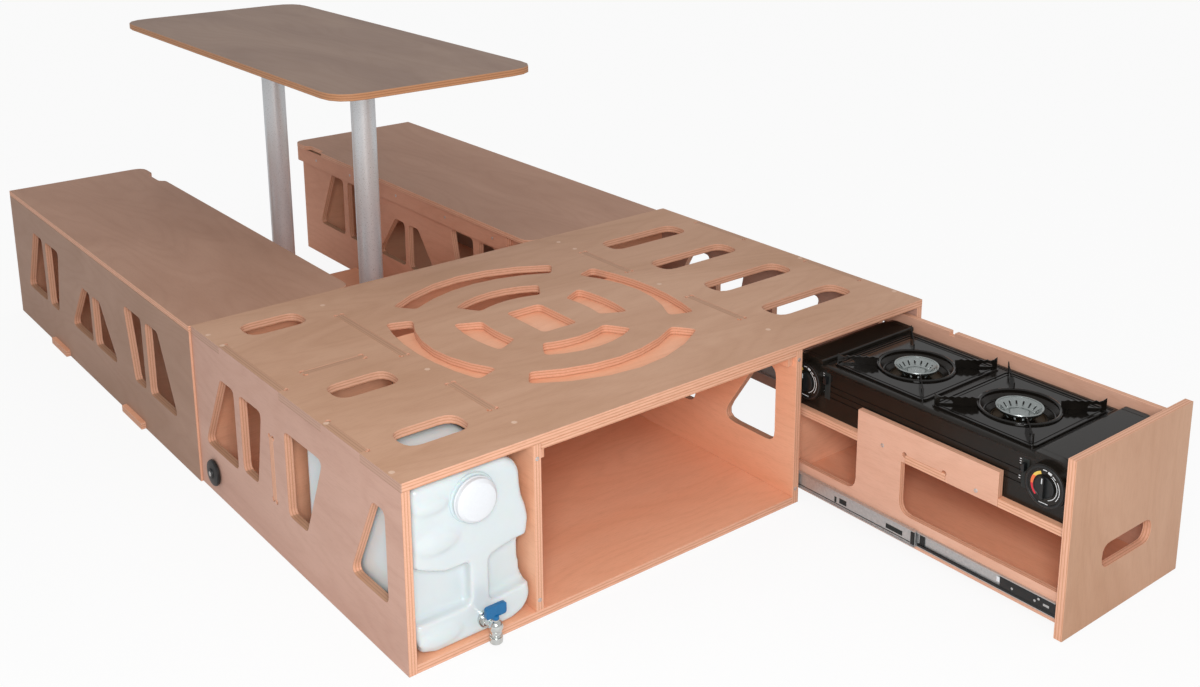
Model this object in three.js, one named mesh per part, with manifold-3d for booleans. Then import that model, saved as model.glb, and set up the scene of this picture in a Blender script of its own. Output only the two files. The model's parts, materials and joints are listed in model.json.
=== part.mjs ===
// Modular camper van kitchen set: a kitchen box with a stove drawer and a water canister,
// two storage benches behind it and a table on two posts between the benches.
// Millimetres, +Z up. X runs along the open front, Y from the front back to the benches.
// Positions below are taken from the front left foot of the kitchen box. The finished
// group is moved at the end, so that its origin is the middle of the footprint.

import * as THREE from "three";
import { mergeVertices } from "three/addons/utils/BufferGeometryUtils.js";
import Module from "manifold-3d";

const wasm = await Module();
wasm.setup();

// Shared sizes
const glueGap = 0.2; // between faces that are glued, screwed or stand on each other
const runGap = 0.3; // between faces that run past each other
const overrun = 2; // how far a cutter runs past the piece, or a joined solid into its neighbour
const weld = 0.0001; // points closer than this are one point
const ply = 15; // thickness of the structural boards
const drawerPly = 12; // thickness of the drawer sides
const lidPly = 12; // thickness of the bench lids

// Kitchen box
const boxLength = 1190;
const boxDepth = 790;
const boxHeight = 326;
const canisterBay = 224; // clear width beside the canister
const drawerBay = 326; // clear width of the drawer opening
const crossWallSetback = 445; // front edge to the wall behind the canister
const crossTenonFoot = 103;
const crossTenonHead = 225;
const crossTenonTop = 119; // length of the tenon through the top
const leftTenonShares = [
  [0.158, 0.323],
  [0.519, 0.835],
];
const rightTenonShares = [
  [0.194, 0.386],
  [0.627, 0.829],
];

// Cut-outs in the box walls: [share of the depth, share of the band from sill to head]
const sill = 98;
const head = 258;
const innerSill = 108;
const innerHead = 262;
const windowRadius = 14;
const innerRadius = 22;
const sideWindowShares = [
  [[0.068, 0], [0.223, 0], [0.116, 1], [0.068, 1]],
  [[0.415, 0], [0.504, 0], [0.504, 1], [0.324, 1]],
  [[0.658, 0.06], [0.737, 0.06], [0.737, 1], [0.618, 1]],
  [[0.767, 0], [0.957, 0], [0.841, 1], [0.767, 1]],
];
const dividerWindowShares = [
  [[0.066, 0], [0.253, 0], [0.123, 1], [0.066, 1]],
  [[0.354, 0], [0.506, 0], [0.506, 1], [0.316, 1]],
];

// Slots in the box top
const slotHeight = 66;
const slotRadius = 28;
const leftSlotLength = 122;
const rightSlotLength = 213;
const leftSlotShares = [0.156, 0.438, 0.884];
const rightSlotShares = [0.185, 0.396, 0.608, 0.823];

// Concentric pattern in the box top: its reach from the middle is a share of the open bay's
// width and of the box depth, and its slots are shares of that reach
const patternReachShares = { across: 0.5172, deep: 0.3797 };
const patternPlaceShare = 0.5063;
const patternRadius = 12;
const patternSteps = 6;
const patternShares = {
  outerFrontBack: { farMid: 1, nearMid: 0.8, farEnd: [0.65, 0.773], nearEnd: [0.55, 0.64] },
  outerSides: { farMid: 0.92, nearMid: 0.81, farEnd: [0.543, 0.833], nearEnd: [0.483, 0.667] },
  innerFrontBack: { farMid: 0.6, nearMid: 0.393, farEnd: [0.34, 0.5], nearEnd: [0.24, 0.343] },
  innerSides: { farMid: 0.533, nearMid: 0.35, farEnd: [0.267, 0.5], nearEnd: [0.183, 0.333] },
};
const centreSlotLength = 80;
const centreSlotDepth = 126;

// Thin worktop that slides out of the open bay on two ledges
const worktopThickness = 10.5;
const worktopDepth = 525;
const worktopPlay = 1; // to each divider
const worktopHeadroom = 0.5; // to the underside of the top
const ledgeHeight = 21;
const ledgeWidth = 13;
const ledgeSetback = 10;

// Clamp knob on the left wall
const knobSetback = 720;
const knobHeight = 48;
const knobRadius = 26;
const knobThickness = 11;
const knobLobes = 8;
const knobLobeDepthShare = 0.12;
const boltRadius = 5;
const washerRadius = 12;
const washerThickness = 1.5;

// Benches
const benchLength = 1176;
const leftBenchOuter = -5;
const leftBenchWidth = 322;
const rightBenchInset = 20; // outer wall inside the right end of the box
const rightBenchWidth = 357;
const lidOverhang = 25;
const lidCornerRadius = 30;
const notchSetback = 67; // far end of the lid to the finger notch
const notchLength = 100;
const notchDepth = 14;
const tabReach = 10; // floor tabs past the outer wall
const tabShares = [
  [0.251, 0.349],
  [0.672, 0.765],
];
const stripHeight = 41;
const stripDrop = 15; // lid face to the upper edge of the strip
const stripSetback = 100;
// [share of half the length from the middle, share of the band from sill to head]
const benchWindowShares = [
  [[-0.84, 0], [-0.585, 0], [-0.585, 1], [-0.701, 1]],
  [[-0.544, 0], [-0.435, 0], [-0.371, 1], [-0.544, 1]],
  [[-0.265, 0], [-0.015, 0], [-0.015, 0.74], [-0.099, 0.74]],
];

// Table
const tableHeight = 727;
const tableWidth = 496;
const tableLength = 1196;
const tableOffset = 19; // middle of the table left of the middle of the box
const tableStart = 784;
const tableRadius = 70;
const postRadius = 28.5;
const postSetback = 355;
const postSpacing = 477;
const postSides = 32;
const collarRadius = 34;
const collarHeight = 20;
const baseLength = 879;

// Drawer, drawn in its own group whose zero is the back of the front panel
const drawerTravel = 555;
const panelStop = 1; // front panel to the box when the drawer is shut
const panelFoot = 1;
const panelHead = 315;
const panelSideGap = 1;
const handHoleLength = 144;
const handHoleHeight = 43;
const handHoleFoot = 92;
const drawerLength = 616;
const drawerFoot = 20;
const drawerStripHead = 74;
const drawerRailHead = 234;
const railStart = 128;
const postStart = 328;
const postEnd = 429;
const cutRadius = 25;
const shelfFoot = 172;
const shelfTenonStart = 234;
const shelfTenonEnd = 320;
const farSideHead = 300;
const farNotchStart = 444;
const farNotchLength = 12;
const farNotchDepth = 8;

// Ball slides of the drawer
const slideSpace = 13; // between the box wall and the drawer side
const slideAxis = 44;
const slideHalf = 17;
const slideSheet = 1.5;
const slideLength = 600;
const slideMiddleLength = 560;
const slideSetback = 4;
const slideFlangeShares = { cabinet: 0.6, middleFrom: 0.2, middleTo: 0.8, web: 0.4, drawer: 0.58 };

// Stove, drawn in its own group whose zero is its front left foot
const stoveWidth = 258;
const stoveLength = 588;
const stoveSideGap = 1; // stove to the drawer side
const stoveSetback = 8;
const deckHeight = 95;
const deckChamfer = 8;
const ribHeight = 3;
const ribDepth = 1.5;
const ribShares = [0.62, 0.5, 0.38];
const bayLength = 62; // trough for one cartridge at each end
const bayRim = 62.8;
const bayRadius = 29;
const hoodHeight = 103;
const hoodLength = 67;
const hoodSheet = 2.5;
const hoodRadius = 25;
const hoodInnerRadius = 4;
const podRadius = 37;
const podCentreY = 37;
const podCentreZ = 56;
const podReach = 12; // pod past the fascia
const podDepth = 14; // pod behind the fascia
const dialRadius = 19;
const dialThickness = 9;
const dialGripDepth = 6;
const dialGripWidth = 6;
const leverSetback = 78;
const leverWidth = 6;
const leverHeight = 14;
const leverReach = 10;
const leverFoot = 63;

// Pan support and burner
const burnerSetback = 183;
const burnerAcross = 125;
const wellRadius = 69; // pressed bowl in the deck under each burner
const wellFootRadius = 52;
const wellDepth = 18;
const panWidth = 220;
const panLength = 208;
const panSheet = 2;
const panRadius = 12;
const panHole = 66;
const dishRim = 5;
const dishHeight = 4;
const finHeight = 24;
const finSheet = 2;
const finReach = 144;
const finTeeth = 6;
const finShares = { waist: 0.7, tipStart: 0.92, tooth: 0.1 };
const finHoleShares = [[0.9, 0.24], [0.86, 0.56], [0.64, 0.5], [0.56, 0.24]];
const finHoleRadius = 2;
const burnerRadius = 40;
const burnerHeight = 22;
const burnerSlots = 16;
const burnerSlotWidth = 3;
const burnerSlotShares = { from: 0.5, foot: 0.5, head: 0.8 };
const burnerProfileShares = [
  [0, 0], [0.62, 0], [0.72, 0.3], [1, 0.86], [1, 1], [0.93, 1], [0.6, 0.42], [0, 0.42],
];

// Canister, drawn in its own group whose zero is the front foot of its middle
const canisterHalf = 107;
const canisterHeight = 289;
const canisterLength = 369;
const canisterSetback = 6;
const canisterEdge = 8;
const canisterHeadRadius = 14;
const canisterFootRadius = 34;
const canisterShares = [
  [0.64, 0], [0.86, 0.03], [0.97, 0.08], [1, 0.13], [0.97, 0.2], [0.91, 0.26], [0.89, 0.34],
  [0.89, 0.44], [0.96, 0.5], [1, 0.59], [0.96, 0.67], [0.89, 0.74], [0.86, 0.82], [0.85, 0.9],
  [0.77, 0.96], [0.6, 1],
];
const lobeRadius = 20;
const recessDepth = 20;
const recessEdge = 5;
const recessRadius = 10;
const recessShares = {
  left: [[-1.1, 0.2], [-0.06, 0.2], [-0.06, 0.465], [-0.5, 0.465], [-0.75, 0.5], [-1.1, 0.56]],
  right: [[0.26, 0.17], [1.1, 0.2], [1.1, 0.5], [0.66, 0.49], [0.26, 0.455]],
};
const capOffset = -1;
const capHeight = 244;
const bossRadius = 37;
const bossHeight = 6;
const capRadius = 36;
const capThickness = 15;
const capEdge = 5;

// Tap
const tapOffset = 17;
const tapHeight = 27;
const tapFlangeRadius = 15;
const tapFlange = 5;
const tapBarrelRadius = 9;
const tapReach = 30; // canister face to the spout axis
const tapBallRadius = 12;
const tapSpoutRadius = 9;
const tapSpoutDrop = 29;
const tapBore = 5.5;
const tapBoreDepth = 12;
const tapNeckRadius = 6;
const tapNeckHeight = 12.5;
const tapLeverStem = 7;
const tapLeverLength = 38;
const tapLeverHeight = 18;
const tapLeverThickness = 7;
const tapLeverRadius = 5;

// Facets
const roundSteps = 4;
const smallSides = 24;
const wideSides = 40;

// Places that several pieces share
const wallTop = boxHeight - ply;
const leftDivider = ply + canisterBay;
const rightDivider = boxLength - ply - drawerBay - ply;
const bayStart = leftDivider + ply;
const benchStart = boxDepth + runGap;
const shelfHead = shelfFoot + ply;
const rightBenchOuter = boxLength - rightBenchInset;
const tableCentre = boxLength / 2 - tableOffset;

// Finishes
const finish = (color, roughness, metalness = 0) =>
  new THREE.MeshStandardMaterial({ color, roughness, metalness });
const plyFace = finish(0xb08f75, 0.6);
const plyInner = finish(0xd9a680, 0.65);
const plyTable = finish(0xb99a80, 0.6);
const blackSteel = finish(0x1d1f20, 0.35, 0.4);
const blackEnamel = finish(0x16181a, 0.3, 0.2);
const blackPlastic = finish(0x1a1b1d, 0.5);
const burnerMetal = finish(0xa9adae, 0.35, 0.9);
const zinc = finish(0x9fa4a6, 0.35, 0.9);
const postMetal = finish(0x8e9494, 0.35, 0.8);
const collarPlastic = finish(0x3a3d40, 0.5);
const canisterPlastic = finish(0xe3e9e6, 0.45);
const capPlastic = finish(0xf2f5f6, 0.4);
const tapPlastic = finish(0xcfdcda, 0.3);
const bluePlastic = finish(0x1f78b4, 0.35);

// Directions of the boards
const axisX = new THREE.Vector3(1, 0, 0);
const axisY = new THREE.Vector3(0, 1, 0);
const axisZ = new THREE.Vector3(0, 0, 1);
const turned = (u, v, w) =>
  new THREE.Quaternion().setFromRotationMatrix(new THREE.Matrix4().makeBasis(u, v, w));
const lying = turned(axisX, axisY, axisZ);
const endOn = turned(axisY, axisZ, axisX); // outline in Y and Z, thickness towards +X
const facing = turned(axisX, axisZ, axisY.clone().negate()); // X and Z, thickness towards -Y

// A solid from a closed geometry, and a geometry from a solid
function solidOf(geometry, matrix = new THREE.Matrix4()) {
  const bare = geometry.clone().applyMatrix4(matrix);
  bare.deleteAttribute("normal");
  bare.deleteAttribute("uv");
  const merged = mergeVertices(bare, weld);
  return new wasm.Manifold(
    new wasm.Mesh({
      numProp: 3,
      vertProperties: merged.attributes.position.array,
      triVerts: new Uint32Array(merged.index.array),
    }),
  );
}

function geometryOf(solid) {
  const mesh = solid.getMesh();
  const geometry = new THREE.BufferGeometry();
  const points = new Float32Array(mesh.vertProperties);
  geometry.setAttribute("position", new THREE.BufferAttribute(points, mesh.numProp));
  geometry.setIndex(new THREE.BufferAttribute(new Uint32Array(mesh.triVerts), 1));
  geometry.computeVertexNormals();
  return geometry;
}

// Corners are [u, v, radius]
const rectangle = (u0, v0, u1, v1, radius = 0) => [
  [u0, v0, radius],
  [u1, v0, radius],
  [u1, v1, radius],
  [u0, v1, radius],
];

function anticlockwise(corners) {
  let area = 0;
  corners.forEach(([u, v], i) => {
    const next = corners[(i + 1) % corners.length];
    area += u * next[1] - next[0] * v;
  });
  return area < 0 ? [...corners].reverse() : corners;
}

// A closed path through the corners, each rounded by its radius as far as its edges allow
function pathThrough(corners, path) {
  const edgeShare = 0.48;
  corners.forEach(([u, v, radius = 0], i) => {
    const here = new THREE.Vector2(u, v);
    const before = corners[(i + corners.length - 1) % corners.length];
    const after = corners[(i + 1) % corners.length];
    const back = new THREE.Vector2(before[0], before[1]).sub(here);
    const ahead = new THREE.Vector2(after[0], after[1]).sub(here);
    const room = Math.min(back.length(), ahead.length()) * edgeShare;
    const reach = Math.min(radius / Math.tan(back.angleTo(ahead) / 2), room);
    const start = here.clone().add(back.setLength(reach));
    const end = here.clone().add(ahead.setLength(reach));
    if (i === 0) path.moveTo(start.x, start.y);
    else path.lineTo(start.x, start.y);
    if (radius > 0) path.quadraticCurveTo(here.x, here.y, end.x, end.y);
  });
  path.closePath();
  return path;
}

function plate(corners, holes, thickness, bevel = null) {
  const shape = pathThrough(anticlockwise(corners), new THREE.Shape());
  holes.forEach((hole) => shape.holes.push(pathThrough(hole, new THREE.Path())));
  return new THREE.ExtrudeGeometry(shape, {
    depth: thickness,
    bevelEnabled: false,
    curveSegments: roundSteps,
    ...bevel,
  });
}

function box(x0, y0, z0, x1, y1, z1) {
  const geometry = new THREE.BoxGeometry(x1 - x0, y1 - y0, z1 - z0);
  return geometry.translate((x0 + x1) / 2, (y0 + y1) / 2, (z0 + z1) / 2);
}

// Revolved pieces: the profile is [radius, height], from the foot to the head
function turning(profile, sides) {
  return new THREE.LatheGeometry(
    profile.map(([radius, height]) => new THREE.Vector2(radius, height)),
    sides,
  );
}

const rod = (radius, height, sides) =>
  turning([[0, 0], [radius, 0], [radius, height], [0, height]], sides);
const upright = new THREE.Matrix4().makeRotationX(Math.PI / 2); // +Y becomes +Z
const forward = new THREE.Matrix4().makeRotationX(Math.PI); // +Y becomes -Y
const leftward = new THREE.Matrix4().makeRotationZ(Math.PI / 2); // +Y becomes -X
const moved = (matrix, x, y, z) =>
  new THREE.Matrix4().makeTranslation(x, y, z).multiply(matrix);

function add(parent, name, geometry, material, position = [0, 0, 0], turn = lying) {
  const mesh = new THREE.Mesh(geometry, material);
  mesh.name = name;
  mesh.position.set(...position);
  mesh.quaternion.copy(turn);
  parent.add(mesh);
  return mesh;
}

function groupAt(parent, x, y, z) {
  const group = new THREE.Group();
  group.position.set(x, y, z);
  parent.add(group);
  return group;
}

const root = new THREE.Group();

// Kitchen box
const spansOf = (shares, length) => shares.map(([from, to]) => [from * length, to * length]);
const leftTenons = spansOf(leftTenonShares, boxDepth);
const rightTenons = spansOf(rightTenonShares, boxDepth);
const crossWallEnd = crossWallSetback + ply;
const crossTenonStart = ply + (canisterBay - crossTenonTop) / 2;
const crossTenonEnd = crossTenonStart + crossTenonTop;

const windowsOf = (table, origin, span, foot, top, radius) =>
  table.map((corners) =>
    corners.map(([along, up]) => [origin + along * span, foot + up * (top - foot), radius]),
  );
const sideWindows = windowsOf(sideWindowShares, 0, boxDepth, sill, head, windowRadius);
const dividerWindows = windowsOf(
  dividerWindowShares, 0, boxDepth, innerSill, innerHead, innerRadius,
);
const crossTenonSlit = rectangle(
  crossWallSetback - glueGap,
  crossTenonFoot - glueGap,
  crossWallEnd + glueGap,
  crossTenonHead + glueGap,
);

function tenonedWall(length, foot, tenons) {
  const top = wallTop - glueGap;
  const corners = [[0, foot], [length, foot], [length, top]];
  [...tenons].reverse().forEach(([from, to]) => {
    corners.push([to, top], [to, boxHeight], [from, boxHeight], [from, top]);
  });
  corners.push([0, top]);
  return corners;
}

function bentSlot({ farMid, nearMid, farEnd, nearEnd }, place) {
  const bow = (mid, [along, out], way) => {
    const points = [];
    for (let i = 0; i <= patternSteps; i++) {
      const t = i / patternSteps;
      const lift = 4 * t * (1 - t) * (mid - out);
      const end = i === 0 || i === patternSteps;
      const u = way * along * (2 * t - 1);
      points.push([...place(u, out + lift), end ? patternRadius : 0]);
    }
    return points;
  };
  return [...bow(farMid, farEnd, 1), ...bow(nearMid, nearEnd, -1)];
}

function boxTop() {
  const slots = (centre, length, shares) =>
    shares.map((share) =>
      rectangle(
        centre - length / 2,
        share * boxDepth - slotHeight / 2,
        centre + length / 2,
        share * boxDepth + slotHeight / 2,
        slotRadius,
      ),
    );
  const midX = (bayStart + rightDivider) / 2;
  const midY = patternPlaceShare * boxDepth;
  const across = patternReachShares.across * (rightDivider - bayStart);
  const deep = patternReachShares.deep * boxDepth;
  const back = (u, v) => [midX + u * across, midY + v * deep];
  const front = (u, v) => [midX + u * across, midY - v * deep];
  const right = (u, v) => [midX + v * across, midY + u * deep];
  const left = (u, v) => [midX - v * across, midY + u * deep];
  const holes = [
    ...slots(ply + canisterBay / 2, leftSlotLength, leftSlotShares),
    ...slots(rightDivider + ply + drawerBay / 2, rightSlotLength, rightSlotShares),
    ...[back, front].map((place) => bentSlot(patternShares.outerFrontBack, place)),
    ...[left, right].map((place) => bentSlot(patternShares.outerSides, place)),
    ...[back, front].map((place) => bentSlot(patternShares.innerFrontBack, place)),
    ...[left, right].map((place) => bentSlot(patternShares.innerSides, place)),
    rectangle(
      midX - centreSlotLength / 2,
      midY - centreSlotDepth / 2,
      midX + centreSlotLength / 2,
      midY + centreSlotDepth / 2,
      patternRadius,
    ),
  ];
  let top = solidOf(plate(rectangle(0, 0, boxLength, boxDepth), holes, ply));
  const mortise = (x0, y0, x1, y1) => {
    const cutter = box(
      x0 - glueGap, y0 - glueGap, -overrun, x1 + glueGap, y1 + glueGap, ply + overrun,
    );
    top = top.subtract(solidOf(cutter));
  };
  [0, leftDivider].forEach((x) =>
    leftTenons.forEach(([from, to]) => mortise(x, from, x + ply, to)),
  );
  [rightDivider, boxLength - ply].forEach((x) =>
    rightTenons.forEach(([from, to]) => mortise(x, from, x + ply, to)),
  );
  mortise(crossTenonStart, crossWallSetback, crossTenonEnd, crossWallEnd);
  return geometryOf(top);
}

const kitchenBox = groupAt(root, 0, 0, 0);
add(kitchenBox, "box_top", boxTop(), plyFace, [0, 0, wallTop]);
add(
  kitchenBox,
  "left_wall",
  plate(tenonedWall(boxDepth, 0, leftTenons), [...sideWindows, crossTenonSlit], ply),
  plyFace,
  [0, 0, 0],
  endOn,
);
add(
  kitchenBox,
  "right_wall",
  plate(tenonedWall(boxDepth, 0, rightTenons), sideWindows, ply),
  plyFace,
  [boxLength - ply, 0, 0],
  endOn,
);
const dividerDepth = boxDepth - ply - glueGap;
const onFloor = ply + glueGap;
add(
  kitchenBox,
  "left_divider",
  plate(
    tenonedWall(dividerDepth, onFloor, leftTenons),
    [...dividerWindows, crossTenonSlit],
    ply,
  ),
  plyInner,
  [leftDivider, 0, 0],
  endOn,
);
add(
  kitchenBox,
  "right_divider",
  plate(tenonedWall(dividerDepth, 0, rightTenons), dividerWindows, ply),
  plyInner,
  [rightDivider, 0, 0],
  endOn,
);
const insideStart = ply + glueGap;
const insideEnd = boxLength - ply - glueGap;
add(
  kitchenBox,
  "back_wall",
  plate(rectangle(insideStart, 0, insideEnd, wallTop - glueGap), [], ply),
  plyInner,
  [0, boxDepth, 0],
  facing,
);
add(
  kitchenBox,
  "box_floor",
  plate(rectangle(insideStart, 0, rightDivider - glueGap, dividerDepth), [], ply),
  plyInner,
);
add(
  kitchenBox,
  "cross_wall",
  plate(
    [
      [insideStart, onFloor],
      [leftDivider - glueGap, onFloor],
      [leftDivider - glueGap, crossTenonFoot],
      [bayStart, crossTenonFoot],
      [bayStart, crossTenonHead],
      [leftDivider - glueGap, crossTenonHead],
      [leftDivider - glueGap, wallTop - glueGap],
      [crossTenonEnd, wallTop - glueGap],
      [crossTenonEnd, boxHeight],
      [crossTenonStart, boxHeight],
      [crossTenonStart, wallTop - glueGap],
      [insideStart, wallTop - glueGap],
      [insideStart, crossTenonHead],
      [0, crossTenonHead],
      [0, crossTenonFoot],
      [insideStart, crossTenonFoot],
    ],
    [],
    ply,
  ),
  plyInner,
  [0, crossWallEnd, 0],
  facing,
);

// Worktop and its ledges
const worktopFoot = wallTop - worktopHeadroom - worktopThickness;
const ledgeHead = worktopFoot - glueGap;
const ledge = (from) =>
  box(from, ledgeSetback, ledgeHead - ledgeHeight, from + ledgeWidth, worktopDepth, ledgeHead);
add(kitchenBox, "left_ledge", ledge(bayStart + glueGap), plyInner);
add(kitchenBox, "right_ledge", ledge(rightDivider - glueGap - ledgeWidth), plyInner);
add(
  kitchenBox,
  "worktop_board",
  box(
    bayStart + worktopPlay,
    0,
    worktopFoot,
    rightDivider - worktopPlay,
    worktopDepth,
    worktopFoot + worktopThickness,
  ),
  plyInner,
);

// Clamp knob on its bolt
function knobOutline() {
  const points = [];
  const steps = knobLobes * roundSteps;
  for (let i = 0; i < steps; i++) {
    const angle = (i / steps) * 2 * Math.PI;
    const dip = (1 - Math.cos(angle * knobLobes)) / 2;
    const radius = knobRadius * (1 - knobLobeDepthShare * dip);
    points.push([Math.cos(angle) * radius, Math.sin(angle) * radius]);
  }
  return points;
}

function circleCorners(u, v, radius, sides) {
  const points = [];
  for (let i = 0; i < sides; i++) {
    const angle = (i / sides) * 2 * Math.PI;
    points.push([u + Math.cos(angle) * radius, v + Math.sin(angle) * radius]);
  }
  return points;
}

const clamp = groupAt(kitchenBox, 0, knobSetback, knobHeight);
const knobInner = glueGap + washerThickness + runGap;
const boltReach = knobInner + knobThickness - glueGap;
const boltProfile = [
  [0, 0],
  [washerRadius, 0],
  [washerRadius, washerThickness],
  [boltRadius, washerThickness],
  [boltRadius, boltReach],
  [0, boltReach],
];
add(
  clamp,
  "clamp_bolt",
  turning(boltProfile, smallSides).applyMatrix4(moved(leftward, -glueGap, 0, 0)),
  zinc,
);
add(
  clamp,
  "clamp_knob",
  plate(
    knobOutline(),
    [circleCorners(0, 0, boltRadius + runGap, smallSides)],
    knobThickness,
  ),
  blackPlastic,
  [-knobInner - knobThickness, 0, 0],
  endOn,
);

// Benches: side 1 opens towards +X, side -1 towards -X
function bench(name, outer, width, side) {
  const group = groupAt(root, outer, benchStart, 0);
  const low = (u, size) => (side > 0 ? u : -u - size);
  const mirrored = (corners) => corners.map(([u, v, radius]) => [side * u, v, radius]);
  const top = boxHeight - lidPly - glueGap;
  const tabs = spansOf(tabShares, benchLength);
  const half = benchLength / 2;
  const firstHalf = windowsOf(benchWindowShares, half, half, sill, head, windowRadius);
  const secondHalf = firstHalf.map((corners) =>
    corners.map(([along, up, radius]) => [benchLength - along, up, radius]),
  );
  const windows = [...firstHalf, ...secondHalf];

  const outerCorners = [[0, 0]];
  tabs.forEach(([from, to]) => {
    outerCorners.push([from - glueGap, 0], [from - glueGap, ply + glueGap]);
    outerCorners.push([to + glueGap, ply + glueGap], [to + glueGap, 0]);
  });
  outerCorners.push([benchLength, 0], [benchLength, top], [0, top]);
  add(group, name + "_outer_wall", plate(outerCorners, windows, ply), plyFace, [low(0, ply), 0, 0], endOn);
  add(
    group,
    name + "_aisle_wall",
    plate(rectangle(0, 0, benchLength, top), windows, ply),
    plyFace,
    [low(width - ply, ply), 0, 0],
    endOn,
  );

  const inner = ply + glueGap;
  const end = plate(mirrored(rectangle(inner, 0, width - inner, top)), [], ply);
  add(group, name + "_near_end", end, plyInner, [0, ply, 0], facing);
  add(group, name + "_far_end", end.clone(), plyInner, [0, benchLength, 0], facing);

  const floorCorners = [[inner, inner]];
  floorCorners.push([width - inner, inner], [width - inner, benchLength - inner]);
  floorCorners.push([inner, benchLength - inner]);
  [...tabs].reverse().forEach(([from, to]) => {
    floorCorners.push([inner, to], [-tabReach, to], [-tabReach, from], [inner, from]);
  });
  add(group, name + "_floor", plate(mirrored(floorCorners), [], ply), plyInner);

  const stripHead = boxHeight - stripDrop;
  const stripLow = low(width + glueGap, ply);
  add(
    group,
    name + "_strip",
    box(stripLow, stripSetback, stripHead - stripHeight, stripLow + ply, benchLength, stripHead),
    plyInner,
  );

  const edge = width + lidOverhang;
  const notchEnd = benchLength - notchSetback;
  const lidCorners = [
    [0, 0, 0],
    [edge, 0, lidCornerRadius],
    [edge, notchEnd - notchLength, notchDepth],
    [edge - notchDepth, notchEnd - notchLength + notchDepth, notchDepth],
    [edge - notchDepth, notchEnd - notchDepth, notchDepth],
    [edge, notchEnd, notchDepth],
    [edge, benchLength, lidCornerRadius],
    [0, benchLength, 0],
  ];
  add(group, name + "_lid", plate(mirrored(lidCorners), [], lidPly), plyFace, [0, 0, boxHeight - lidPly]);
}

bench("left_bench", leftBenchOuter, leftBenchWidth, 1);
bench("right_bench", rightBenchOuter, rightBenchWidth, -1);

// Table on its posts
const table = groupAt(root, tableCentre, tableStart, 0);
const tableFoot = tableHeight - ply;
add(
  table,
  "table_top",
  plate(rectangle(-tableWidth / 2, 0, tableWidth / 2, tableLength, tableRadius), [], ply),
  plyTable,
  [0, 0, tableFoot],
);
const postPlaces = { near: postSetback, far: postSetback + postSpacing };
const postHeight = tableFoot - glueGap - glueGap;
const collarBore = postRadius + runGap;
const collarProfile = [
  [collarBore, 0],
  [collarRadius, 0],
  [collarRadius, collarHeight],
  [collarBore, collarHeight],
  [collarBore, 0],
];
Object.entries(postPlaces).forEach(([place, y]) => {
  add(
    table,
    place + "_post",
    rod(postRadius, postHeight, postSides).applyMatrix4(upright),
    postMetal,
    [0, y, glueGap],
  );
  add(
    table,
    place + "_collar",
    turning(collarProfile, postSides).applyMatrix4(upright),
    collarPlastic,
    [0, y, tableFoot - glueGap - collarHeight],
  );
});
const baseStart = benchStart - tableStart;
const baseLeft = leftBenchOuter + leftBenchWidth + runGap - tableCentre;
const baseRight = rightBenchOuter - rightBenchWidth - runGap - tableCentre;
add(
  table,
  "base_board",
  plate(
    rectangle(baseLeft, baseStart, baseRight, baseStart + baseLength),
    Object.values(postPlaces).map((y) =>
      circleCorners(0, y, (postRadius + runGap) / Math.cos(Math.PI / postSides), postSides),
    ),
    ply,
  ),
  plyInner,
);

// Drawer box
const drawerBayStart = rightDivider + ply;
const drawer = groupAt(root, drawerBayStart, -drawerTravel - panelStop, 0);
const panelEnd = drawerBay + ply - panelSideGap;
const panelMid = (panelSideGap + panelEnd) / 2;
const handHoleHead = handHoleFoot + handHoleHeight;
add(
  drawer,
  "drawer_front",
  plate(
    rectangle(panelSideGap, panelFoot, panelEnd, panelHead),
    [
      rectangle(
        panelMid - handHoleLength / 2,
        handHoleFoot,
        panelMid + handHoleLength / 2,
        handHoleHead,
        handHoleHeight / 2,
      ),
    ],
    ply,
  ),
  plyFace,
  [0, 0, 0],
  facing,
);
const sideInner = slideSpace + drawerPly;
const farSide = drawerBay - slideSpace - drawerPly;
const storageStart = sideInner + glueGap;
const storageEnd = farSide - glueGap;
add(
  drawer,
  "drawer_near_side",
  plate(
    [
      [glueGap, drawerFoot],
      [drawerLength, drawerFoot],
      [drawerLength, drawerStripHead],
      [postEnd, drawerStripHead, cutRadius],
      [postEnd, drawerRailHead],
      [railStart, drawerRailHead],
      [railStart, shelfFoot],
      [shelfTenonStart - glueGap, shelfFoot],
      [shelfTenonStart - glueGap, shelfHead + glueGap],
      [shelfTenonEnd + glueGap, shelfHead + glueGap],
      [shelfTenonEnd + glueGap, shelfFoot],
      [postStart, shelfFoot],
      [postStart, drawerStripHead, cutRadius],
      [glueGap, drawerStripHead],
    ],
    [],
    drawerPly,
  ),
  plyInner,
  [slideSpace, 0, 0],
  endOn,
);
const farNotchEnd = farNotchStart + farNotchLength;
add(
  drawer,
  "drawer_far_side",
  plate(
    [
      [glueGap, drawerFoot],
      [drawerLength, drawerFoot],
      [drawerLength, farSideHead],
      [farNotchEnd, farSideHead],
      [farNotchEnd, farSideHead - farNotchDepth],
      [farNotchStart, farSideHead - farNotchDepth],
      [farNotchStart, farSideHead],
      [glueGap, farSideHead],
    ],
    [],
    drawerPly,
  ),
  plyInner,
  [farSide, 0, 0],
  endOn,
);
const drawerBackStart = drawerLength - drawerPly;
add(
  drawer,
  "drawer_back",
  plate(rectangle(storageStart, drawerFoot, storageEnd, shelfFoot - glueGap), [], drawerPly),
  plyInner,
  [0, drawerLength, 0],
  facing,
);
add(
  drawer,
  "drawer_bottom",
  plate(
    rectangle(storageStart, glueGap, storageEnd, drawerBackStart - glueGap),
    [],
    drawerPly,
  ),
  plyInner,
  [0, 0, drawerFoot],
);
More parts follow.
